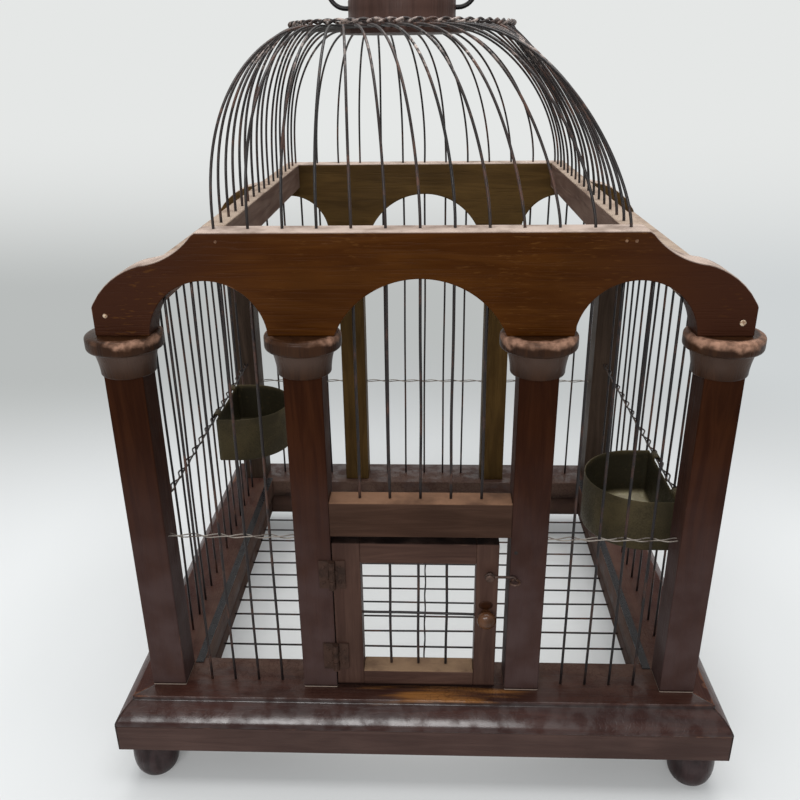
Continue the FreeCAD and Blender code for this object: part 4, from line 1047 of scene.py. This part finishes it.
ties = []
for sign in (-1, 1):
    start = (sign * WALL_X, -WALL_HALF - SEAT, SIDE_TIE)
    end = (sign * WALL_X, WALL_HALF + SEAT, SIDE_TIE)
    ties += woven_pair(start, end, (-sign, 0, 0), SEAT + WALL_PITCH, WALL_PITCH, 0.6)
piece("wall_ties", ties, "cage", chain_finish, ["side_tie_wires"])
SMALL_BAYS = [(-SMALL_ARCH_X, SMALL_BAY_HALF, 5), (SMALL_ARCH_X, SMALL_BAY_HALF, 5)]
ties = bay_ties(SMALL_BAYS, -BAY_Y, FRONT_TIE, (0, -1, 0))
piece("front_ties", ties, "cage", tie_finish, ["front_tie_wires"])
ties = bay_ties([*SMALL_BAYS, (0.0, WIDE_BAY_HALF, 6)], BAY_Y, BACK_TIE, (0, 1, 0))
piece("back_ties", ties, "cage", tie_finish, ["back_tie_wires"])

# Dome
DOME_HALF = 109.2
DOME_DEPTH = 144.8
BOARD_WIRES = 13
RAIL_WIRES = 15
DOME_WIRES = 2 * (BOARD_WIRES + RAIL_WIRES)
DOME_TURN = -0.09
DOME_SKEW = 0.154
across = DOME_HALF * np.linspace(-1, 1, BOARD_WIRES)
deep = even(-DOME_DEPTH, DOME_DEPTH, RAIL_WIRES)
DOME_ROWS = [
    ("front", [(x, -DOME_DEPTH) for x in across]),
    ("right", [(DOME_HALF, y) for y in deep]),
    ("back", [(x, DOME_DEPTH) for x in across[::-1]]),
    ("left", [(-DOME_HALF, y) for y in deep[::-1]]),
]


def power_at(angle, average, right, back, sides):
    """A power that changes round the dome."""
    return average + right * math.cos(angle) + back * math.sin(angle) + sides * math.cos(2 * angle)


def dome_path(foot, angle):
    """One wire: in as a power of a cosine, up as a power of a sine, then level to the hub."""
    inwards = power_at(angle, 1.59, -0.19, -0.15, -0.57)
    upwards = power_at(angle, 2.13, -0.55, 0.19, 0.5)
    way = np.array([math.cos(angle), math.sin(angle), 0.0])
    ring = np.array([HUB_X, 0, RING_LEVEL]) + way * RING_RADIUS
    turn = np.linspace(0.0, math.pi / 2, 40) ** 1.15 / (math.pi / 2) ** 0.15
    reach = np.cos(turn).clip(0) ** (2 / inwards)
    rise = np.sin(turn) ** (2 / upwards)
    plan = ring + (np.array([*foot, 0.0]) - ring) * reach[:, None]
    plan[:, 2] = BOARD_TOP + (RING_LEVEL - BOARD_TOP) * rise
    inner = np.array([HUB_X, 0, RING_LEVEL]) + way * HUB_WIRE_END
    seat = np.array([[foot[0], foot[1], BOARD_TOP - SEAT]])
    return np.concatenate([seat, plan, line(ring, inner, 8)[1:]])


number = 0
for side, feet_row in DOME_ROWS:
    wires = []
    for foot in feet_row:
        angle = -math.pi / 2 + (number - BOARD_WIRES // 2) * 2 * math.pi / DOME_WIRES
        angle = angle + DOME_TURN + DOME_SKEW * math.sin(angle)
        path = sway(dome_path(foot, angle), 500 + number, 0.7)
        level = (-math.sin(angle), math.cos(angle), 0)
        high = (path[:, 2] - BOARD_TOP) / (RING_LEVEL - BOARD_TOP)
        # A pale band near the top: partly worn paint, partly painted highlight
        band = np.exp(-((high - 0.86) / 0.09) ** 2)
        rubbed = band[[0, *range(len(path)), -1], None] * wire_tone(600 + number)
        wires.append(tube(path, DOME_WIRE_RADIUS, level, tone=wire_tone(500 + number), scuff=rubbed))
        number = number + 1
    piece("dome_" + side, wires, "cage", dome_finish, ["dome_wires_" + side])


def twisted_ring():
    """Two strands twisted round each other on a level circle, half a turn from one dome wire to the next."""
    turn = np.linspace(0, 2 * math.pi, 1120, endpoint=False)
    way = np.stack([np.cos(turn), np.sin(turn), np.zeros_like(turn)], axis=1)
    heart = np.array([HUB_X, 0, RING_LEVEL + 2.1]) + way * RING_RADIUS
    strands = []
    for start in (0, math.pi):
        twist = DOME_WIRES / 2 * turn + start
        swing = np.cos(twist)[:, None] * way + np.sin(twist)[:, None] * np.array([0, 0, 1.0])
        # Painted highlight: the pale second tone at 0.8 over the whole ring
        strands.append(tube(heart + RING_TWIST * swing, RING_STRAND, way, 8, True, tone=0.7, scuff=0.8))
    return strands


piece("twisted_dome_ring", twisted_ring(), "cage", dome_finish, ["dome_ring"])
HUB_PROFILE = rows(
    (0, 0, 9), (0, 36.5, 3), curve(1.6, 37.9, 1.6, -90, 0, 5, 0.8), curve(5.4, 37.9, 1.6, 0, 90, 5, 0.3),
    (7.0, 36.0, 1.2), (7.1, 34.6, 3), (7.6, 34.0, 5), (14.0, 34.0, 9), (19.0, 34.0, 9), (20.0, 33.4, 1.5),
    (20.8, 33.4, 1.5), (21.6, 34.0, 1.0), (28.4, 34.0, 1.2), curve(29.0, 31.6, 2.4, 20, 70, 5, 0.4),
    (32.4, 30.6, 1.0), (33.0, 28.0, 2.0), (33.0, 0, 9),
)
hub = lathe(HUB_PROFILE, (HUB_X, 0, HUB_FOOT), "Z", 96)
piece("turned_hub", [hub], "cage", hub_finish, ["hub"])


def bail_path():
    """Half of the bail from its pivot: straight, a bend, a leg and a quarter circle; then the other half."""
    bend = np.radians(np.linspace(0, 90, 10))
    quarter = np.radians(np.linspace(0, 90, 28))
    knee = 11.0
    leg = 46.5
    corner = np.stack([leg - knee + knee * np.sin(bend), knee * (1 - np.cos(bend))], axis=1)
    bow = np.stack([leg * np.cos(quarter), 20.0 + leg * np.sin(quarter)], axis=1)
    half = rows((26.5, 0), (31.0, 0), corner, (leg, 15.5), bow)
    both = np.concatenate([half * np.array([-1, 1]), half[-2::-1]])
    return np.stack([both[:, 0] + HUB_X, np.zeros(len(both)), both[:, 1] + BAIL_LEVEL], axis=1)


bail = tube(bail_path(), BAIL_RADIUS, (0, 1, 0), 12)
piece("wire_bail", [bail], "bail", bail_finish, ["bail_handle"])

# Door fittings
KNOB_PROFILE = rows(
    (0, 0, 9), (0, 2.6, 9), (3.0, 3.4, 9), (4.0, 3.3, 9), (5.6, 2.9, 9), (6.8, 3.1, 9),
    curve(9.6, 2.4, 3.5, -75, 60, 14, 3.0), (13.4, 2.6, 1.5), (13.9, 1.2, 1.0), (14.0, 0, 1.0),
)
knob = lathe(KNOB_PROFILE, KNOB_PLACE, "-Y", 40)
piece("turned_door_knob", [knob], "door", knob_finish, ["door_knob"])
SCREW_PROFILE = rows(
    (0, 0, 9), (0, 1.2, 9), (8.0, 1.2, 9), (8.1, 2.5, 9),
    (8.5, 2.6, 9), (8.9, 2.2, 9), (9.2, 1.2, 9), (9.25, 0, 9),
)
screw = lathe(SCREW_PROFILE, (HOOK_PIVOT[0], FRONT_FACE + SEAT, HOOK_PIVOT[2]), "-Y", 24)
piece("pivot_screw", [screw], "door", brass_finish, ["hook_pivot_screw"])


def hook_patches():
    """A wire loop round the pivot screw, and a shank that turns down at its tip."""
    turn = np.linspace(0, 2 * math.pi, 40, endpoint=False)
    level = np.zeros_like(turn)
    loop = np.stack([2.15 * np.cos(turn), level, 2.15 * np.sin(turn)], axis=1) + HOOK_PIVOT
    bend = np.radians(np.linspace(0, 90, 8))
    x, y, z = HOOK_PIVOT
    across = HOOK_TIP_X - HOOK_BEND + HOOK_BEND * np.sin(bend)
    down = z - HOOK_BEND * (1 - np.cos(bend))
    corner = np.stack([across, np.full(len(bend), y), down], axis=1)
    straight = line((x + 2.3, y, z), (HOOK_TIP_X - HOOK_BEND - 0.3, y, z), 8)
    shank = np.concatenate([straight, corner, [(HOOK_TIP_X, y, z - 2.5)]])
    width = np.linspace(0.9, 0.75, len(shank))
    return [tube(loop, 0.88, (0, 1, 0), 10, True), tube(shank, width, (0, 1, 0), 10)]


piece("wire_hook", hook_patches(), "hook", hook_finish, ["latch_hook"])
turn = np.linspace(0, 2 * math.pi, 40, endpoint=False)
eye_heart = (HOOK_TIP_X, HOOK_PIVOT[1], EYE_LEVEL)
ring = EYE_RADIUS * np.stack([np.cos(turn), np.sin(turn), np.zeros_like(turn)], axis=1) + eye_heart
shank_end = (HOOK_TIP_X, FRONT_FACE + SEAT, EYE_LEVEL)
shank = line((HOOK_TIP_X, HOOK_PIVOT[1] + EYE_RADIUS, EYE_LEVEL), shank_end, 6)
eye = [tube(ring, 0.8, (0, 0, 1), 10, True), tube(shank, 0.72, (0, 0, 1), 10)]
piece("screw_eye", eye, "cage", brass_finish, ["latch_eye"])

for node, finish in (
    ("hinge_leaves_column", hinge_finish),
    ("hinge_leaves_door", hinge_finish),
    ("hinge_pins", hinge_finish),
    ("floor_strips", strip_finish),
):
    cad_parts[node].data.materials.clear()
    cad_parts[node].data.materials.append(finish)
HEAD_PROFILE = rows((0, 0, 9), (0, 1.1, 9), (0.2, 1.1, 9), (0.4, 0.8, 9), (0.5, 0.4, 9), (0.52, 0, 9))
for body, x in HINGE_SCREW_X.items():
    heads = [lathe(HEAD_PROFILE, (x, HINGE_SCREW_Y, z), "-Y", 20) for z in HINGE_SCREW_LEVELS]
    piece("hinge_screws_" + body, heads, body, hinge_finish, ())

# Filled nail holes in the front board, an old hole in a column, a dark patch over the knob
PLUG_PROFILE = rows((-0.6, 0, 9), (-0.6, 1.0, 9), (0.04, 1.0, 9), (0.08, 0.6, 9), (0.08, 0, 9))
for name, finish, places in (
    ("nail_holes", nail_finish, ((-170.3, 318.3, 1.3), (170.3, 314.4, 1.7))),
    ("small_nail_holes", dull_nail_finish, ((-106.3, 358.1, 0.8), (105.4, 357.9, 0.8), (110.5, 357.8, 0.9))),
):
    holes = []
    for x, z, size in places:
        holes.append(lathe(PLUG_PROFILE * np.array([1, size, 1]), (x, BOARD_FACE, z), "-Y", 20))
    piece(name, holes, "cage", finish, ())
old_hole = lathe(PLUG_PROFILE * np.array([1, 1.2, 1]), OLD_HOLE_PLACE, "-Y", 20)
piece("column_hole", [old_hole], "cage", dark_hole_finish, ())
stain = lathe(PLUG_PROFILE * np.array([1, 4.4, 1]), (0, 0, 0), "-Y", 32)
stain = patch(stain[0] * np.array([1, 1, 0.75]) + np.array(DARK_PATCH_PLACE), **stain[2])
piece("dark_patch_over_knob", [stain], "door", dark_knob_patch_finish, ())


# Feeder cups
def cup_outline(inset, count=72):
    """A flat back, straight sides and a half-round nose, moved in by an inset; X runs to the wall."""
    radius = CUP_HALF - inset
    turn = np.linspace(math.pi / 2, 3 * math.pi / 2, count)
    nose = np.stack([-CUP_STRAIGHT + radius * np.cos(turn), radius * np.sin(turn)], axis=1)
    back = np.stack([np.full(20, -inset), np.linspace(-radius, radius, 20)], axis=1)
    side = np.linspace(0.2, 0.8, 4)[:, None]
    lower = nose[-1] * (1 - side) + back[0] * side
    upper = back[-1] * (1 - side) + nose[0] * side
    return np.concatenate([nose, lower, back, upper])


def cup_shell():
    """Rows from the middle of the floor out, up the inner wall, over the rim, down outside and under.

    A row is its inset, its height, its share of the outline, how pale it is, and how much painted shade it
    takes on the inner wall.
    """
    levels = np.array([
        (0.8, 0.8, 0.0, 1, 0), (0.8, 0.8, 0.5, 1, 0), (3.0, 0.8, 1, 1, 0), (1.4, 1.1, 1, 0.9, 0),
        (0.8, 2.4, 1, 0.5, 0), (0.8, 6.0, 1, 0, 1), (0.8, 16.0, 1, 0, 1), (0.8, 32.0, 1, 0, 1),
        (0.8, 35.2, 1, 0, 0.3), (0.55, 35.8, 1, 0, 0), (0.3, 35.95, 1, 0, 0), (0.1, 35.8, 1, 0, 0),
        (0.0, 35.2, 1, 0, 0), (0.0, 32.0, 1, 0, 0), (0.0, 16.0, 1, 0, 0), (0.0, 1.6, 1, 0, 0),
        (0.5, 0.4, 1, 0, 0), (1.6, 0.0, 1, 0, 0), (3.0, 0.0, 0.5, 0, 0), (3.0, 0.0, 0.0, 0, 0),
    ])
    heart = np.array(CUP_HEART)
    grid = []
    for inset, height, share in levels[:, :3]:
        ring = heart + (cup_outline(inset) - heart) * share
        grid.append(np.column_stack([ring, np.full(len(ring), height)]))
    return np.stack(grid), {"inside": levels[:, 3:4], "scuff": levels[:, 4:]}


def cup_tab(y):
    """A strip of the cup's sheet up from the back, over the tie wire and down behind it."""
    route = np.array([
        (-0.4, 31.2), (-0.4, 36.6), (0.1, 37.7), (0.8, 37.9),
        (2.4, 37.9), (3.1, 37.6), (3.4, 36.6), (3.4, 34.2),
    ])
    ahead = unit(np.gradient(route, axis=0))
    normal = np.stack([-ahead[:, 1], ahead[:, 0]], axis=1) * 0.4
    outer = route + normal
    inner = route - normal
    corners = []
    for side, shift in ((outer, -TAB_HALF), (outer, TAB_HALF), (inner, TAB_HALF), (inner, -TAB_HALF)):
        corners.append(np.column_stack([side[:, 0], np.full(len(route), y + shift), side[:, 1]]))
    points = np.stack(corners, axis=1)
    caps = np.repeat(points[[0, -1]].mean(axis=1, keepdims=True), 4, axis=1)
    return np.concatenate([caps[:1], points, caps[1:]])


shell, shell_marks = cup_shell()
for side, sign in (("right", 1), ("left", -1)):
    place = np.array([sign * CUP_BACK_X, CUP_MIDDLE[side], CUP_FOOT])
    turn = np.array([sign, sign, 1.0])
    parts = [patch(shell * turn + place, **shell_marks)]
    parts += [patch(cup_tab(step * WALL_PITCH) * turn + place, inside=0.0, scuff=0.0) for step in (-1.5, 1.5)]
    piece(side + "_feeder", parts, side + "_cup", cup_finish, [side + "_cup"])


# Camera, floor and light: degrees and millimetres, and the picture's own pixels
CAMERA_TURN = (-2.265, -23.40, -0.663)
CAMERA_PLACE = (5.48, -580.43, 445.42)
PICTURE_PIXELS = 800
FOCAL_PIXELS = 826.7
SHIFT_PIXELS = 14.1
SENSOR_WIDTH = 36.0
BACKDROP = tone(229, 231, 230)
FLOOR_RADIUS = 6.0


def photo_camera():
    """The viewpoint of the photograph: a pinhole camera with its place, yaw, pitch and roll."""
    yaw, pitch, roll = np.radians(CAMERA_TURN)
    ahead = np.array([math.sin(yaw) * math.cos(pitch), math.cos(yaw) * math.cos(pitch), math.sin(pitch)])
    level = np.array([math.cos(yaw), -math.sin(yaw), 0.0])
    rise = np.cross(level, ahead)
    right = math.cos(roll) * level + math.sin(roll) * rise
    up = -math.sin(roll) * level + math.cos(roll) * rise
    matrix = np.eye(4)
    matrix[:3, :3] = np.stack([right, up, -ahead], axis=1)
    matrix[:3, 3] = np.array(CAMERA_PLACE) * MM
    lens = bpy.data.cameras.new("photo_camera")
    lens.sensor_width = SENSOR_WIDTH
    lens.lens = SENSOR_WIDTH * FOCAL_PIXELS / PICTURE_PIXELS
    lens.shift_y = SHIFT_PIXELS / PICTURE_PIXELS
    lens.clip_start = 0.01
    camera = bpy.data.objects.new("photo_camera", lens)
    camera.matrix_world = Matrix(matrix.tolist())
    bpy.context.scene.collection.objects.link(camera)
    bpy.context.scene.camera = camera


def soft_lamp(name, place, aim, width, height, power):
    """An oblong area lamp turned towards a point."""
    lamp = bpy.data.lights.new(name, "AREA")
    lamp.shape = "RECTANGLE"
    lamp.size = width
    lamp.size_y = height
    lamp.energy = power
    item = bpy.data.objects.new(name, lamp)
    back = unit(np.subtract(place, aim).astype(float))
    side = unit(np.cross([0.0, 1.0, 0.2], back))
    matrix = np.eye(4)
    matrix[:3, :3] = np.stack([side, np.cross(back, side), back], axis=1)
    matrix[:3, 3] = place
    item.matrix_world = Matrix(matrix.tolist())
    bpy.context.scene.collection.objects.link(item)


def seen_rays(recipe):
    """One for the rays that show the background: from the camera, or by gloss or glass."""
    path = recipe.node("LightPath").outputs
    seen = recipe.math("MAXIMUM", path["Is Camera Ray"], path["Is Glossy Ray"])
    return recipe.math("MAXIMUM", seen, path["Is Transmission Ray"])


def pale_floor():
    """A wide pale disc with the cage's shadow, dimmer behind the cage by painted shade and darker far in
    front, brighter under the cage by a painted glow, that fades out further away.
    """
    mesh = bpy.data.meshes.new("floor")
    turn = np.linspace(0, 2 * math.pi, 64, endpoint=False)
    rim = FLOOR_RADIUS * np.stack([np.cos(turn), np.sin(turn), np.zeros_like(turn)], axis=1)
    mesh.from_pydata(rim.tolist(), [], [list(range(len(rim)))])
    material, recipe, shader, place = new_material("pale_floor")
    shader.inputs["Roughness"].default_value = 0.6
    spot = recipe.node("SeparateXYZ", {0: place}).outputs
    # Painted shade: the floor and its backdrop tone are darker in a band behind the cage; the floor is also
    # darker far in front
    near = recipe.remap(recipe.math("DIVIDE", 1.0, spot["Y"]), 0.17, 0.95)
    dim = recipe.math("MULTIPLY", recipe.remap(spot["Y"], 0.05, 0.6), near)
    behind = recipe.blend(recipe.remap(spot["X"], 0.05, 0.5), tone(185, 188, 187), tone(207, 211, 212))
    pale = (0.72, 0.73, 0.73, 1.0)
    shaded = (0.46, 0.47, 0.47, 1.0)
    floor_colour_in_painted_shade = recipe.blend(recipe.math("ADD", dim, recipe.remap(spot["Y"], -0.25, -0.7)), pale, shaded)
    material.node_tree.links.new(floor_colour_in_painted_shade, shader.inputs["Base Color"])
    far = recipe.node("VectorMath", {0: place}, operation="LENGTH").outputs["Value"]
    outer = recipe.remap(far, 0.4, 0.85, 0.15, 1.0)
    # Painted light: a larger share of backdrop glow brightens the floor under the cage
    inner = recipe.remap(far, 0.08, 0.2, 0.4, 0.0)
    backdrop_and_painted_glow_share = recipe.math("MULTIPLY", recipe.math("ADD", outer, inner), seen_rays(recipe))
    glow = recipe.node("Emission", {"Color": recipe.blend(dim, BACKDROP, behind), "Strength": 1.0})
    mixed = recipe.node("MixShader", {0: backdrop_and_painted_glow_share, 1: shader.outputs[0], 2: glow.outputs[0]})
    end = material.node_tree.nodes["Material Output"]
    material.node_tree.links.new(mixed.outputs[0], end.inputs["Surface"])
    mesh.materials.append(material)
    item = bpy.data.objects.new("floor", mesh)
    bpy.context.scene.collection.objects.link(item)


def studio_world():
    """Even pale light all round; the camera, gloss and glass see the pale backdrop."""
    world = bpy.data.worlds.new("studio")
    world.use_nodes = True
    bpy.context.scene.world = world
    recipe = Recipe(world.node_tree)
    light = recipe.node("Background", {"Color": (0.93, 0.97, 1.0, 1.0), "Strength": 0.46})
    shown = recipe.node("Background", {"Color": BACKDROP, "Strength": 1.0})
    mixed = recipe.node("MixShader", {0: seen_rays(recipe), 1: light.outputs[0], 2: shown.outputs[0]})
    world.node_tree.links.new(mixed.outputs[0], world.node_tree.nodes["World Output"].inputs["Surface"])


photo_camera()
pale_floor()
studio_world()
soft_lamp("overhead", (0.0, 0.1, 1.7), (0.0, 0.0, 0.2), 1.4, 1.4, 25.0)
soft_lamp("front_window", (-0.24, -1.5, 0.75), (0.0, 0.0, 0.2), 0.85, 0.28, 11.0)
bpy.context.scene.view_settings.view_transform = "Standard"
